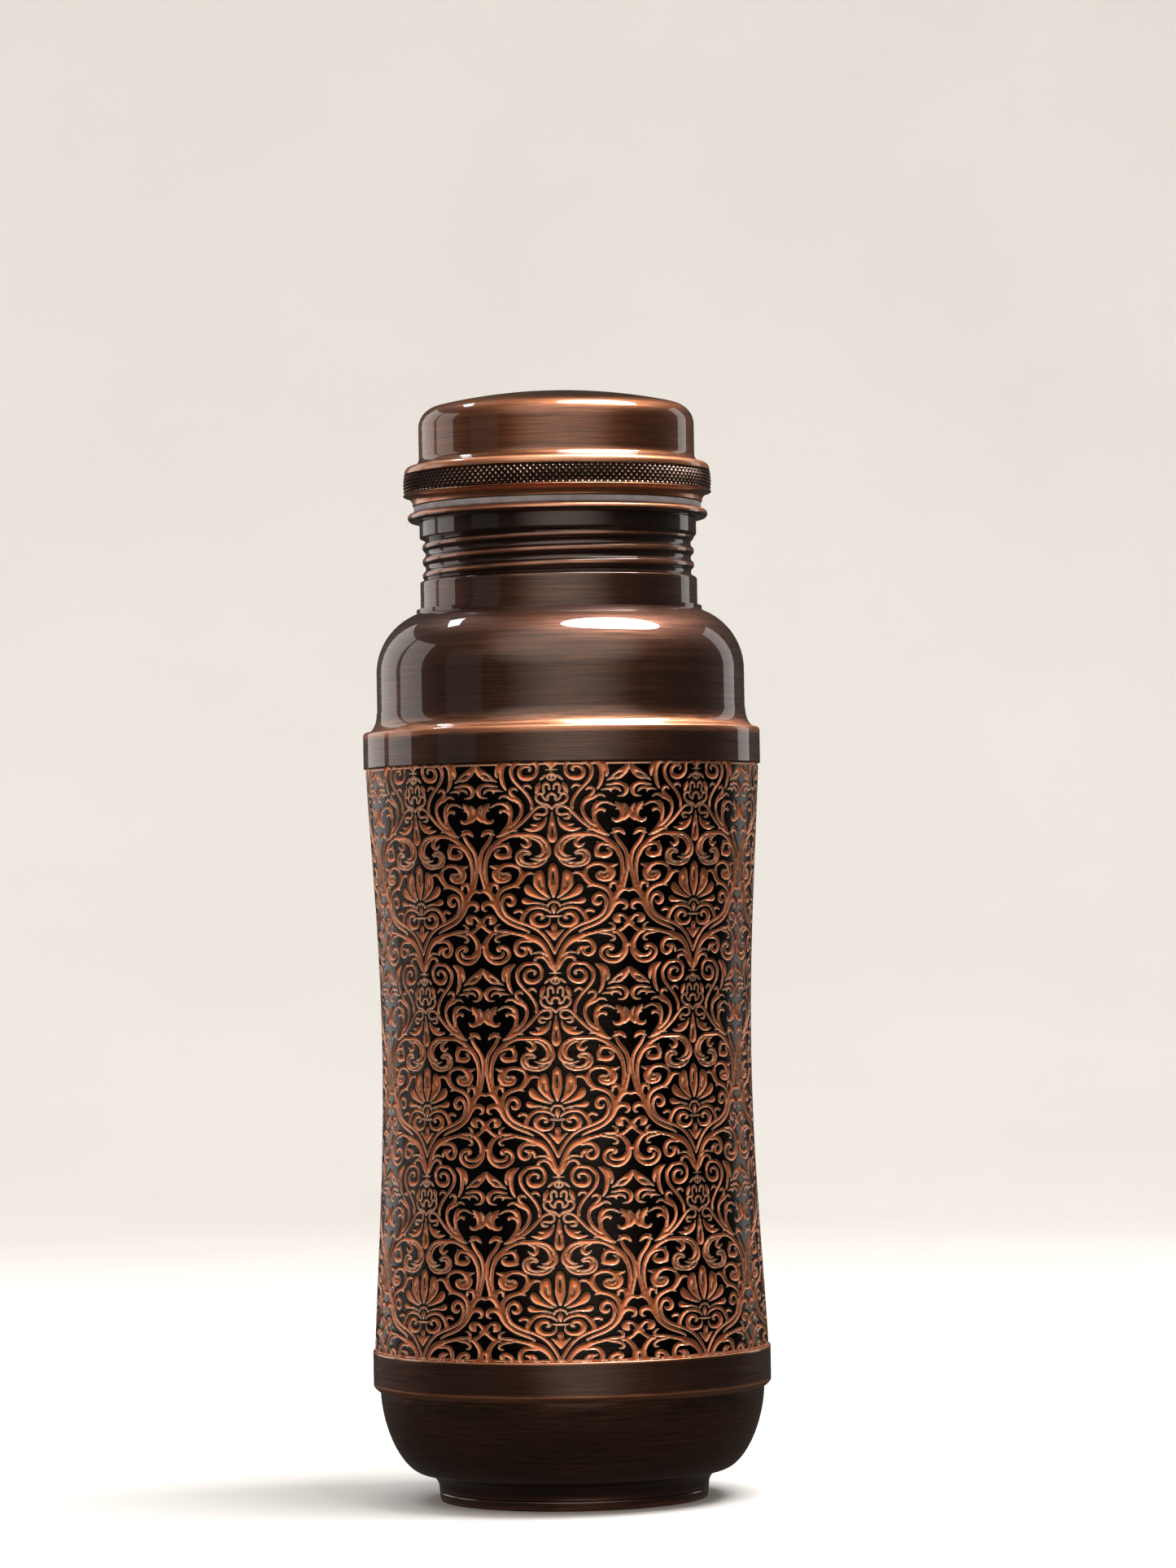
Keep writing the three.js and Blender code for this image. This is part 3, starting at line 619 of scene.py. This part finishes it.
class Finish:
    """A material built node by node. An input that is another node's output is linked."""

    def __init__(self, name, **sockets):
        self.material = bpy.data.materials.new(name)
        self.material.use_nodes = True
        self.tree = self.material.node_tree
        self.shader = self.tree.nodes["Principled BSDF"]
        self.give(self.shader, sockets)

    def give(self, node, sockets):
        for key, value in sockets.items():
            socket = node.inputs[key.replace("_", " ") if isinstance(key, str) else key]
            if isinstance(value, bpy.types.NodeSocket):
                self.tree.links.new(value, socket)
            else:
                socket.default_value = value

    def add(self, kind, output=0, sockets=None, **options):
        node = self.tree.nodes.new("ShaderNode" + kind)
        for key, value in options.items():
            setattr(node, key, value)
        self.give(node, sockets or {})
        return node.outputs[output]

    def math(self, operation, *values):
        return self.add("Math", sockets=dict(enumerate(values)), operation=operation)

    def product(self, first, second):
        return self.math("MULTIPLY", first, second)

    def spread(self, value, low, high, to_low=0.0, to_high=1.0):
        """value from low to high, eased into to_low to to_high."""
        sockets = {0: value, 1: low, 2: high, 3: to_low, 4: to_high}
        return self.add("MapRange", sockets=sockets, interpolation_type="SMOOTHSTEP")

    def mix(self, share, first, second):
        sockets = {0: share, 6: first, 7: second}
        return self.add("Mix", output=2, sockets=sockets, data_type="RGBA")

    def layer(self, name):
        return self.add("Attribute", output="Fac", attribute_name=name)

    def noise(self, vector, scale=1.0, detail=3.0, roughness=0.5):
        sockets = {"Vector": vector, "Scale": scale, "Detail": detail, "Roughness": roughness}
        return self.add("TexNoise", sockets=sockets)

    def place(self):
        """The point on the object, in millimetres."""
        position = self.add("TexCoord", output="Object")
        sockets = {0: position, "Scale": 1 / MM}
        return self.add("VectorMath", sockets=sockets, operation="SCALE")

    def brushing(self, length, width):
        """Fine streaks that run round the piece, from 0 to 1."""
        x = self.add("SeparateXYZ", output="X", sockets={0: self.place()})
        y = self.add("SeparateXYZ", output="Y", sockets={0: self.place()})
        across = self.math("DIVIDE", self.layer("run"), width)
        round_x = self.math("DIVIDE", x, length)
        round_y = self.math("DIVIDE", y, length)
        vector = self.add("CombineXYZ", sockets={0: round_x, 1: round_y, 2: across})
        return self.noise(vector, detail=2.0, roughness=0.65)

    def bump(self, height, distance):
        sockets = {"Height": height, "Distance": distance * MM, "Strength": 1.0}
        self.give(self.shader, {"Normal": self.add("Bump", sockets=sockets)})

    def brushed(self, colour, roughness, fine, depth):
        """Gives the metal its colour and brushing. The gloss's stretch follows the brushing."""
        self.give(self.shader, {"Base Color": colour, "Roughness": roughness})
        self.bump(fine, depth)
        tangent = self.add("Tangent", direction_type="RADIAL", axis="Z")
        self.give(self.shader, {"Tangent": tangent})
        return self.material


def lacquered(name, dark, warm):
    """Blackened copper, brushed round and round under clear lacquer, bright from wear where bare is 1.
    relief above 0 is painted shade in a hollow, and below 0 a crest bright from wear and a painted glint."""
    finish = Finish(name, Metallic=1.0, Anisotropic=0.5, Coat_Weight=1.0, Coat_Roughness=0.03,
                    Coat_IOR=1.7)
    fine = finish.spread(finish.brushing(12.0, 0.13), 0.34, 0.66)
    broad = finish.spread(finish.brushing(40.0, 0.9), 0.3, 0.72)
    patches = finish.spread(finish.noise(finish.place(), scale=0.045, detail=4.0), 0.35, 0.7)
    streaks = finish.product(finish.math("ADD", finish.product(fine, 0.7), 0.3),
                             finish.math("ADD", finish.product(broad, 0.45), 0.55))
    clouds = finish.spread(patches, 0.0, 1.0, 0.65, 1.0)
    # Painted shade: the brushed brightness falls to a small share where relief is 1.
    painted_shade_factor = finish.spread(finish.layer("relief"), 0.0, 1.0, 1.0, PAINTED_SHADE_SHINE)
    streak_tone_and_shade = finish.product(finish.product(streaks, clouds), painted_shade_factor)
    colour = finish.mix(streak_tone_and_shade, dark, warm)

    scuffs = finish.spread(finish.brushing(7.0, 0.4), 0.3, 0.7, 0.6, 1.2)
    # Below 0, relief is a crest: bare copper from wear, and a painted glint as well.
    crest = finish.product(finish.layer("relief"), -1.0)
    wear_and_crest_glint = finish.math("MAXIMUM", finish.layer("bare"), crest)
    wear_and_glint_share = finish.spread(finish.product(wear_and_crest_glint, scuffs), 0.08, 0.85)
    copper = finish.mix(fine, BARE_DEEP, BARE_LIGHT)
    roughness = finish.spread(fine, 0.0, 1.0, 0.5, 0.38)
    return finish.brushed(finish.mix(wear_and_glint_share, colour, copper), roughness, fine, 0.006)


def bright_copper():
    finish = Finish("bright_copper", Metallic=1.0, Anisotropic=0.4, Coat_Weight=0.7, Coat_Roughness=0.06)
    fine = finish.spread(finish.brushing(14.0, 0.1), 0.28, 0.74)
    tarnish = finish.spread(finish.noise(finish.place(), scale=0.12, detail=6.0), 0.42, 0.75, 0.0, 0.55)
    copper = finish.mix(fine, BARE_DEEP, BARE_LIGHT)
    colour = finish.mix(tarnish, copper, TARNISH)
    roughness = finish.spread(fine, 0.0, 1.0, 0.38, 0.25)
    return finish.brushed(colour, roughness, fine, 0.005)


def etched_copper():
    """Copper laid bare by etching, between black lacquered ground that stands proud of it."""
    finish = Finish("etched_copper", Metallic=1.0, Anisotropic=0.3, Coat_Weight=0.1, Coat_Roughness=0.07)
    relief = finish.layer("relief")
    figure = finish.spread(relief, 0.035, -0.035)
    # Painted highlight: lighter copper in a narrow band just inside each figure's edge.
    past_edge_highlight = finish.spread(relief, -0.05, -0.2)
    fine = finish.spread(finish.brushing(10.0, 0.13), 0.28, 0.74)
    tint = finish.spread(finish.noise(finish.place(), scale=0.06, detail=4.0), 0.35, 0.68)
    floor = finish.mix(fine, FIGURE_DEEP, FIGURE_LIGHT)
    floor = finish.mix(finish.product(tint, 0.5), floor, FIGURE_PINK)
    copper = finish.mix(past_edge_highlight, FIGURE_EDGE_HIGHLIGHT, floor)
    ground = finish.mix(fine, GROUND_DARK, GROUND_LIGHT)
    roughness = finish.spread(figure, 0.0, 1.0, 0.2, 0.48)
    return finish.brushed(finish.mix(figure, ground, copper), roughness, fine, 0.004)


def silicone():
    finish = Finish("silicone", Roughness=0.5, Subsurface_Weight=0.2, Subsurface_Scale=0.001)
    bloom = finish.spread(finish.noise(finish.place(), scale=0.35, detail=5.0), 0.3, 0.7)
    grain = finish.noise(finish.place(), scale=6.0, detail=3.0)
    finish.give(finish.shader, {"Base Color": finish.mix(bloom, SILICONE_DULL, SILICONE_PALE)})
    finish.bump(grain, 0.02)
    return finish.material


def knurled_copper():
    """Blackened in the grooves; the points of the knurl are bare copper from wear, lightened further as a
    painted highlight.
    """
    finish = Finish("knurled_copper", Metallic=1.0, Coat_Weight=0.3, Coat_Roughness=0.1)
    groove = finish.layer("relief")
    rub = finish.noise(finish.place(), scale=0.25, detail=4.0)
    # The points are lighter: copper from wear, and a painted highlight on top.
    points = finish.spread(finish.math("ADD", groove, rub), 1.15, 0.8)
    dark = finish.mix(rub, KNURL_BLACK, KNURL_BROWN)
    colour = finish.mix(points, dark, KNURL_POINT_WEAR_AND_HIGHLIGHT)
    colour = finish.mix(finish.layer("bare"), colour, BARE_DEEP)
    finish.give(finish.shader, {"Base Color": colour})
    finish.give(finish.shader, {"Roughness": finish.spread(points, 0.0, 1.0, 0.35, 0.25)})
    return finish.material


def pale_paper():
    finish = Finish("pale_paper", Roughness=0.75)
    clouds = finish.noise(finish.place(), scale=0.006, detail=5.0)
    finish.give(finish.shader, {"Base Color": finish.mix(clouds, FLOOR_SHADE, FLOOR_LIGHT)})
    return finish.material


body_copper = lacquered("black_copper", COPPER_DARK, COPPER_WARM)
cap_copper = lacquered("cap_copper", CAP_DARK, CAP_WARM)
rim_copper = bright_copper()


# ---- foot, base and bowl


def foot_ring():
    bottom, top, radius = span("foot_ring")
    inner = radius - FOOT_WIDTH
    section = line((radius - FOOT_LEAN, bottom, FOOT_WEAR), (radius, top),
                   (inner, top), (inner - FOOT_LEAN, bottom, FOOT_WEAR))
    piece("foot_ring", body_copper, softened(section, FOOT_EDGE))


def base_disc():
    bottom, top, rim = span("base_disc")
    dish = rim - BASE_RIM
    crown = (dish ** 2 + BASE_RISE ** 2) / (2 * BASE_RISE)
    slope = math.degrees(math.asin(dish / crown))
    lower = arc(0, bottom + BASE_RISE - crown, crown, 90, 90 - slope, steps=20)
    lower[0, 0] = 0
    upper = lower[::-1] + (0, SHEET, 0)
    edge = line((rim - SOFT_EDGE, bottom), (rim, bottom + SOFT_EDGE), (rim, bottom + SHEET))
    piece("base_disc", body_copper, np.vstack([lower, edge, upper]), closed=False)


def liner_radius(height):
    """Outer radius of the bowl and the shoulder where they lap inside the sleeve."""
    return sleeve_radius(height) - SLEEVE_WALL - BRAZE


def bowl():
    bottom, top, _ = span("bowl")
    foot_top = span("foot_ring")[2]
    band_bottom = span("lower_band")[0]
    sleeve_bottom = span("etched_sleeve")[0]
    shelf_radius = foot_top + BOWL_FILLET
    shelf_height = bottom + BOWL_THROAT + BOWL_FILLET
    reach = liner_radius(sleeve_bottom) - shelf_radius
    rise = band_bottom - shelf_height
    fillet = arc(shelf_radius, bottom + BOWL_THROAT, BOWL_FILLET, 180, 92)
    turn = np.radians(np.linspace(0, 90, 33))[1:]
    outward = shelf_radius + reach * np.sin(turn) ** (2 / BOWL_POWER)
    height = band_bottom - rise * np.cos(turn).clip(0) ** (2 / BOWL_POWER)
    convex = rows(outward, height, BOWL_WEAR)
    skirt = along(sleeve_bottom, top, liner_radius, 6)
    outer = np.vstack([line((foot_top, bottom)), fillet, convex, skirt])
    section = shell(outer, SHEET)
    # Painted shade on the bowl, rising to full just below the lower band.
    painted_light_marks = smooth_step(band_bottom - BOWL_SHADE_HEIGHT, band_bottom, section[:, 1:2])
    piece("bowl", body_copper, section, relief=painted_light_marks)


# ---- sleeve and bands


def sleeve_radius(height):
    bottom, top, radius = span("etched_sleeve")
    share = np.clip((height - bottom) / (top - bottom), 0, 1)
    return radius - WAIST_DEPTH * np.abs(np.sin(math.pi * share)) ** WAIST_POWER


def etched_sleeve():
    bottom, top, _ = span("etched_sleeve")
    rows = int(round((top - bottom) / RELIEF_STEP))
    outer = along(bottom, top, sleeve_radius, rows)
    inner = along(bottom, top, lambda height: sleeve_radius(height) - SLEEVE_WALL, 24)
    angle = np.linspace(0, 2 * math.pi, RELIEF_COLUMNS, endpoint=False)
    figure = relief_at(angle, outer[:, 1])
    for edge in (bottom, top):
        from_line = np.abs(np.abs(outer[:, 1] - edge) - BORDER_INSET) - BORDER_WIDTH / 2
        figure = np.minimum(figure, from_line[:, None])
    depth = ETCH_DEPTH * smooth_step(0, -ETCH_WALL, figure)
    plain = np.full((len(inner), RELIEF_COLUMNS), FAR)
    offset = np.vstack([-depth, np.zeros_like(plain)])
    relief = np.vstack([figure, plain])
    section = np.vstack([outer, inner[::-1]])
    piece("etched_sleeve", etched_copper(), section, offset,
                 RELIEF_COLUMNS, relief=relief)


def lower_band():
    bottom, top, radius = span("lower_band")
    bore = liner_radius(top) + BRAZE
    low_edge = line((radius - BAND_CHAMFER, bottom, 1), (radius, bottom + BAND_CHAMFER, 1),
                    (radius, bottom + 2 * BAND_CHAMFER, BAND_WEAR))
    rest = line((radius, top - BAND_FADE), (radius, top, 1), (bore, top), (bore, bottom))
    piece("lower_band", body_copper, softened(np.vstack([low_edge, rest]), BAND_EDGE))


def upper_collar():
    bottom, top, radius = span("upper_collar")
    bore = shoulder_wall_radius() + BRAZE
    edge = top - COLLAR_COVE
    centre = radius - COLLAR_ROUND
    crest = arc(centre, edge - COLLAR_ROUND, COLLAR_ROUND, 0, 90, bare=1.0)
    sweep = np.radians(np.linspace(270, 180, 17))[1:]
    bare = np.linspace(COLLAR_WEAR, 0.0, len(sweep))
    cove = rows(centre + (centre - bore) * np.cos(sweep), top + COLLAR_COVE * np.sin(sweep), bare)
    wall = line((radius, bottom), (radius, bottom + COLLAR_FOOT),
                (radius, edge - COLLAR_ROUND - COLLAR_FADE))
    inner = line((bore, edge + 1.5 * SHEET), (bore + SHEET, edge - SHEET / 2),
                 (radius - SHEET, edge - COLLAR_ROUND - SHEET), (radius - SHEET, bottom))
    section = np.vstack([wall, crest, cove, inner])
    piece("upper_collar", body_copper, softened(section, COLLAR_EDGE))


# ---- shoulder, neck and lip

THREAD_BOTTOM = span("threaded_neck")[0] + NECK_LOWER_PLAIN
THREAD_TOP = THREAD_BOTTOM + THREAD_LENGTH


def shoulder_wall_radius():
    """Radius of the shoulder's straight wall, above the part inside the sleeve."""
    return span("upper_collar")[2] - SHOULDER_STEP


def shoulder():
    bottom, top, _ = span("shoulder")
    sleeve_top = span("etched_sleeve")[1]
    collar_edge = span("upper_collar")[1] - COLLAR_COVE
    wall = shoulder_wall_radius()
    edge = span("threaded_neck")[2] + BRAZE + SHEET
    centre = wall - SHOULDER_ROUND
    dome_turn = math.degrees(math.acos((edge - centre) / SHOULDER_ROUND))
    dome_bottom = top - SHOULDER_UPTURN - SHOULDER_ROUND * math.sin(math.radians(dome_turn))
    lap = along(bottom, sleeve_top, liner_radius, 4)
    straight = along(collar_edge, dome_bottom - SHOULDER_BLEND, lambda height: wall, 6)
    dome = arc(centre, dome_bottom, SHOULDER_ROUND, 0, dome_turn, steps=40)
    outer = np.vstack([lap, straight, dome, line((edge, top))])
    piece("shoulder", body_copper, shell(outer, SHEET))


def thread_wave(height, bottom, top, around):
    """Share of the full thread at each height, and the radial offset of a rolled right-hand thread,
    steeper on its flanks than a cosine."""
    angle = np.linspace(0, 2 * math.pi, around, endpoint=False)
    wave = np.cos(2 * math.pi * (height[:, None] - THREAD_BOTTOM) / THREAD_PITCH - angle)
    wave = np.tanh(THREAD_STEEPNESS * wave) / math.tanh(THREAD_STEEPNESS)
    fade = np.minimum(height - bottom, top - height) / THREAD_FADE
    share = smooth_step(0, 1, fade)
    return share, wave * share[:, None] * THREAD_DEPTH / 2


def threaded_neck():
    bottom, top, radius = span("threaded_neck")
    steps = int(math.ceil((THREAD_TOP - THREAD_BOTTOM) / THREAD_PITCH * THREAD_ROWS))
    height = np.concatenate([[bottom, THREAD_BOTTOM - THREAD_MARGIN],
                             np.linspace(THREAD_BOTTOM, THREAD_TOP, steps),
                             [THREAD_TOP + THREAD_MARGIN, top]])
    share, wave = thread_wave(height, THREAD_BOTTOM, THREAD_TOP, AROUND)
    sink = share * THREAD_SINK
    outer = rows(radius - sink, height)
    inner = outer - (SHEET, 0, 0)
    section = np.vstack([outer, inner[::-1]])
    # Painted shade under the lip and between the threads; wear and a painted glint on the crests.
    under_lip_shade = smooth_step(THREAD_TOP - THREAD_PITCH, THREAD_TOP + LIP_SHADE_HEIGHT, height)[:, None]
    valley_shade = VALLEY_PAINTED_SHADE * (share[:, None] / 2 - wave / THREAD_DEPTH).clip(0)
    crest_wear_and_glint = CREST_WEAR_AND_GLINT * (2 * wave / THREAD_DEPTH).clip(0) ** 4
    painted_light_marks = np.maximum(under_lip_shade, valley_shade) * (1 - crest_wear_and_glint) - crest_wear_and_glint
    piece("threaded_neck", body_copper, section, np.vstack([wave, wave[::-1]]),
                 relief=np.vstack([painted_light_marks, painted_light_marks[::-1]]))


def neck_bore():
    return span("threaded_neck")[2] - SHEET


def mouth_lip():
    bottom, top, radius = span("mouth_lip")
    bore = neck_bore()
    half = (top - bottom) / 2
    bead = arc(radius - half, bottom + half, half, -90, 90, steps=18)
    # Worn bright from a little below the bead's widest line upwards.
    bead[:, 2] = smooth_step(-0.5, 0.3, (bead[:, 1] - bottom - half) / half)
    section = np.vstack([line((bore, bottom)), bead, line((bore + LIP_ROUND, top), (bore, top - LIP_ROUND))])
    piece("mouth_lip", body_copper, softened(section, LIP_EDGE))


# ---- gasket and cap


def gasket():
    bottom, top, radius = span("gasket")
    bore = neck_bore() - GASKET_OVERHANG
    section = line((bore, bottom), (radius, bottom), (radius, top), (bore, top))
    piece("gasket", silicone(), softened(section, GASKET_EDGE))


def cap_plug():
    bottom, top, flange = span("cap_plug")
    cove_top = top - FLANGE_RIM
    flange_bottom = cove_top - FLANGE_COVE
    plain = neck_bore() - PLUG_PLAY
    mean = neck_bore() - THREAD_SINK - THREAD_PLAY
    root = mean - THREAD_DEPTH / 2
    bore = root - PLUG_WALL
    nose = bottom + PLUG_NOSE
    steps = int(math.ceil((THREAD_TOP - nose) / THREAD_PITCH * THREAD_ROWS))
    thread_height = np.linspace(nose, THREAD_TOP, steps)
    share = smooth_step(0, THREAD_FADE, thread_height - nose)
    thread = rows(root + (mean - root) * share, thread_height)
    _, wave = thread_wave(thread_height, nose, THREAD_TOP + 4 * THREAD_FADE, AROUND)
    floor = bottom + PLUG_WALL
    nose_radius = root - PLUG_NOSE
    lower = line((0, bottom), (nose_radius - PLUG_NOSE_BLEND, bottom),
                 (nose_radius, bottom + PLUG_NOSE_RISE))
    cove = arc(flange, flange_bottom, FLANGE_COVE, 180, 92, bare=1.0)
    upper = np.vstack([
        line((plain, THREAD_TOP + THREAD_FADE), (plain, flange_bottom - FLANGE_EDGE),
             (plain + FLANGE_EDGE, flange_bottom, 1)),
        cove,
        line((flange - FLANGE_EDGE, cove_top, 1), (flange, cove_top + FLANGE_EDGE, 1),
             (flange - FLANGE_EDGE, top, 1)),
        line((flange - FLANGE_COVE, top), (flange - FLANGE_COVE - PLUG_WALL, flange_bottom + PLUG_WALL)),
        line((bore, flange_bottom + PLUG_WALL)),
        line(*[(bore + aside, floor + up) for aside, up in PLUG_FLOOR_CORNER]),
        line((0, floor)),
    ])
    section = np.vstack([lower, thread, upper])
    offset = np.vstack([np.zeros((len(lower), AROUND)), wave, np.zeros((len(upper), AROUND))])
    piece("cap_plug", rim_copper, section, offset, closed=False)


def knurled_ring():
    bottom, top, radius = span("knurled_ring")
    around = KNURL_COUNT * KNURL_SAMPLES
    pitch = 2 * math.pi * radius / KNURL_COUNT
    face_bottom = bottom + KNURL_MARGIN
    face_top = top - KNURL_MARGIN
    steps = int(round((face_top - face_bottom) / pitch * KNURL_SAMPLES))
    height = np.linspace(face_bottom, face_top, steps + 1)
    middle = (2 * height - bottom - top) / (top - bottom)
    crown = KNURL_CROWN * (1 - middle ** 2) - KNURL_CROWN
    angle = np.arange(around) / KNURL_SAMPLES
    rise = (height - bottom)[:, None] / pitch
    grooves = [np.abs(2 * ((angle + way * rise) % 1) - 1) for way in (1, -1)]
    cut = KNURL_DEPTH * np.maximum(*grooves) ** KNURL_SHARPNESS
    from_end = np.minimum(height - face_bottom, face_top - height)
    fade = smooth_step(0, KNURL_FADE, from_end + KNURL_FADE_START)
    face = rows(radius + crown, height)
    bore = radius - KNURL_WALL
    edge = radius - KNURL_CROWN - KNURL_MARGIN
    flat = edge - KNURL_CHAMFER
    ends = line((edge, top - KNURL_CHAMFER_HEIGHT, KNURL_EDGE_WEAR), (flat, top), (bore, top),
                (bore, bottom), (flat, bottom), (edge, bottom + KNURL_CHAMFER_HEIGHT))
    offset = np.vstack([-cut * fade[:, None], np.zeros((len(ends), around))])
    relief = np.vstack([np.maximum(*grooves) * fade[:, None], np.ones((len(ends), around))])
    piece("knurled_ring", knurled_copper(), np.vstack([face, ends]), offset,
                 around, relief=relief)


def cap_dome():
    bottom, top, radius = span("cap_dome")
    wall = span("threaded_neck")[2] - CAP_WALL_INSET
    edge_bottom = bottom + CAP_EDGE_STRAIGHT
    edge_top = edge_bottom + CAP_EDGE_ROUND
    fillet_height = edge_top + CAP_WALL_FILLET
    corner_height = fillet_height + CAP_WALL_HEIGHT
    corner = wall - CAP_CORNER
    slope = math.radians(CROWN_SLOPE)
    crown = corner / math.sin(slope) + CAP_CORNER
    crown_centre = corner_height + (CAP_CORNER - crown) * math.cos(slope)
    crown_arc = arc(0, crown_centre, crown, 90 - CROWN_SLOPE, 90, steps=28)
    crown_arc[-1, 0] = 0
    crown_arc[:, 2] = np.linspace(CROWN_WEAR, 0.0, len(crown_arc))
    outer = np.vstack([
        line((radius, bottom, CAP_RIM_WEAR)),
        arc(radius - CAP_EDGE_ROUND, edge_bottom, CAP_EDGE_ROUND, 0, 78, bare=1.0),
        arc(wall + CAP_WALL_FILLET, fillet_height, CAP_WALL_FILLET, 262, 180, bare=CAP_FILLET_WEAR),
        arc(corner, corner_height, CAP_CORNER, 0, 90 - CROWN_SLOPE, CAP_CORNER_WEAR, steps=20),
        crown_arc[1:],
    ])
    inner = inset(outer, SHEET)[::-1]
    piece("cap_dome", cap_copper, np.vstack([inner, outer]), closed=False)


foot_ring()
base_disc()
bowl()
lower_band()
etched_sleeve()
upper_collar()
shoulder()
threaded_neck()
mouth_lip()
gasket()
cap_plug()
knurled_ring()
cap_dome()


# ---- floor, light and camera

PAPER_RADIUS = 1800.0
PAPER_ROUND = 900.0
PAPER_HEIGHT = 3000.0
LIGHT_HEIGHT = 120.0  # point that the lights face
ROOM_GLOW = Vector((0.1, -1.0, 0.75)).normalized()  # towards the brightest part of the room
ROOM_GLOW_EDGE = 0.6  # cosine of the angle at which the glow ends
ROOM_DARK = 0.045
ROOM_BRIGHT = 1.3
ROOM_COLOUR = (1.0, 0.88, 0.77, 1)
LENS = 125.7  # on a 36 mm sensor
CAMERA_DISTANCE = 1040.0  # from the bottle's axis
CAMERA_HEIGHT = 112.0
CAMERA_SIDE = 4.9
CAMERA_PITCH = 1.27  # degrees up
CAMERA_ROLL = 1.0  # degrees, clockwise


def backdrop():
    """Pale paper all round: a floor, a wide round and a wall. It stays out of the gloss."""
    turn = np.radians(np.linspace(0, 90, 25))
    reach = PAPER_RADIUS - PAPER_ROUND * (1 - np.sin(turn))
    rise = PAPER_ROUND * (1 - np.cos(turn))
    profile = np.vstack([line((0, 0)), rows(reach, rise), line((PAPER_RADIUS, PAPER_HEIGHT))])
    sheet = shown(turned("backdrop", profile, 96), pale_paper())
    sheet.visible_glossy = False
    sheet.visible_shadow = False


def softbox(name, azimuth, elevation, distance, width, height, radiance, colour=(1, 1, 1), roll=0):
    """A soft rectangular light that faces the bottle. Azimuth 0 is the camera's side, 90 is its
    right. Its distance and size are in metres."""
    middle = Vector((0, 0, LIGHT_HEIGHT * MM))
    a = math.radians(azimuth)
    e = math.radians(elevation)
    away = Vector((math.sin(a) * math.cos(e), -math.cos(a) * math.cos(e), math.sin(e)))
    data = bpy.data.lights.new(name, "AREA")
    data.shape = "RECTANGLE"
    data.size = width
    data.size_y = height
    data.energy = radiance * math.pi * width * height
    data.color = colour
    light = placed(name, data)
    light.location = middle + away * distance
    turned = away.to_track_quat("Z", "Y") @ Quaternion((0, 0, 1), math.radians(roll))
    light.rotation_euler = turned.to_euler()
    return light


def studio():
    window = softbox("window", 76, 70, 0.80, 0.34, 0.60, 18.0, roll=45)
    window.data.shape = "ELLIPSE"
    softbox("far_window", -127, 53, 0.80, 0.18, 0.07, 16.0, (0.8, 0.9, 1.0))
    for name, azimuth, width in (("left_wall", -106, 0.34), ("left_wall_far", -136, 0.42)):
        softbox(name, azimuth, 12, 0.85, width, 0.66, 0.95, (1.0, 0.95, 0.92))
    softbox("right_strip", 130, 12, 0.85, 0.24, 0.66, 1.0, (1.0, 0.96, 0.93))
    softbox("left_fill", -62, 14, 1.10, 0.50, 0.66, 0.1, (0.9, 0.95, 1.0))
    floor_light = softbox("floor_light", 0, 90, 1.80, 2.60, 2.60, 1.6)
    floor_light.visible_glossy = False
    bpy.context.scene.world = room()


def room():
    """A dark room with a soft glow above the camera."""
    world = bpy.data.worlds.new("room")
    world.use_nodes = True
    tree = world.node_tree
    background = tree.nodes["Background"]
    direction = tree.nodes.new("ShaderNodeTexCoord").outputs["Generated"]
    facing = tree.nodes.new("ShaderNodeVectorMath")
    facing.operation = "DOT_PRODUCT"
    facing.inputs[1].default_value = ROOM_GLOW
    glow = tree.nodes.new("ShaderNodeMapRange")
    glow.interpolation_type = "SMOOTHSTEP"
    for socket, value in zip(glow.inputs[1:5], (ROOM_GLOW_EDGE, 1.0, ROOM_DARK, ROOM_BRIGHT)):
        socket.default_value = value
    tree.links.new(direction, facing.inputs[0])
    tree.links.new(facing.outputs["Value"], glow.inputs[0])
    tree.links.new(glow.outputs[0], background.inputs["Strength"])
    background.inputs["Color"].default_value = ROOM_COLOUR
    return world


def camera():
    data = bpy.data.cameras.new("camera")
    data.sensor_width = 36
    data.lens = LENS
    data.clip_start = 0.05
    data.clip_end = 20
    eye = placed("camera", data)
    pitch = Matrix.Rotation(math.radians(90 + CAMERA_PITCH), 4, "X")
    roll = Matrix.Rotation(math.radians(-CAMERA_ROLL), 4, "Z")
    place = Matrix.Translation(Vector((CAMERA_SIDE, -CAMERA_DISTANCE, CAMERA_HEIGHT)) * MM)
    eye.matrix_world = place @ pitch @ roll
    bpy.context.scene.camera = eye


backdrop()
studio()
camera()
bpy.context.scene.view_settings.view_transform = "Standard"
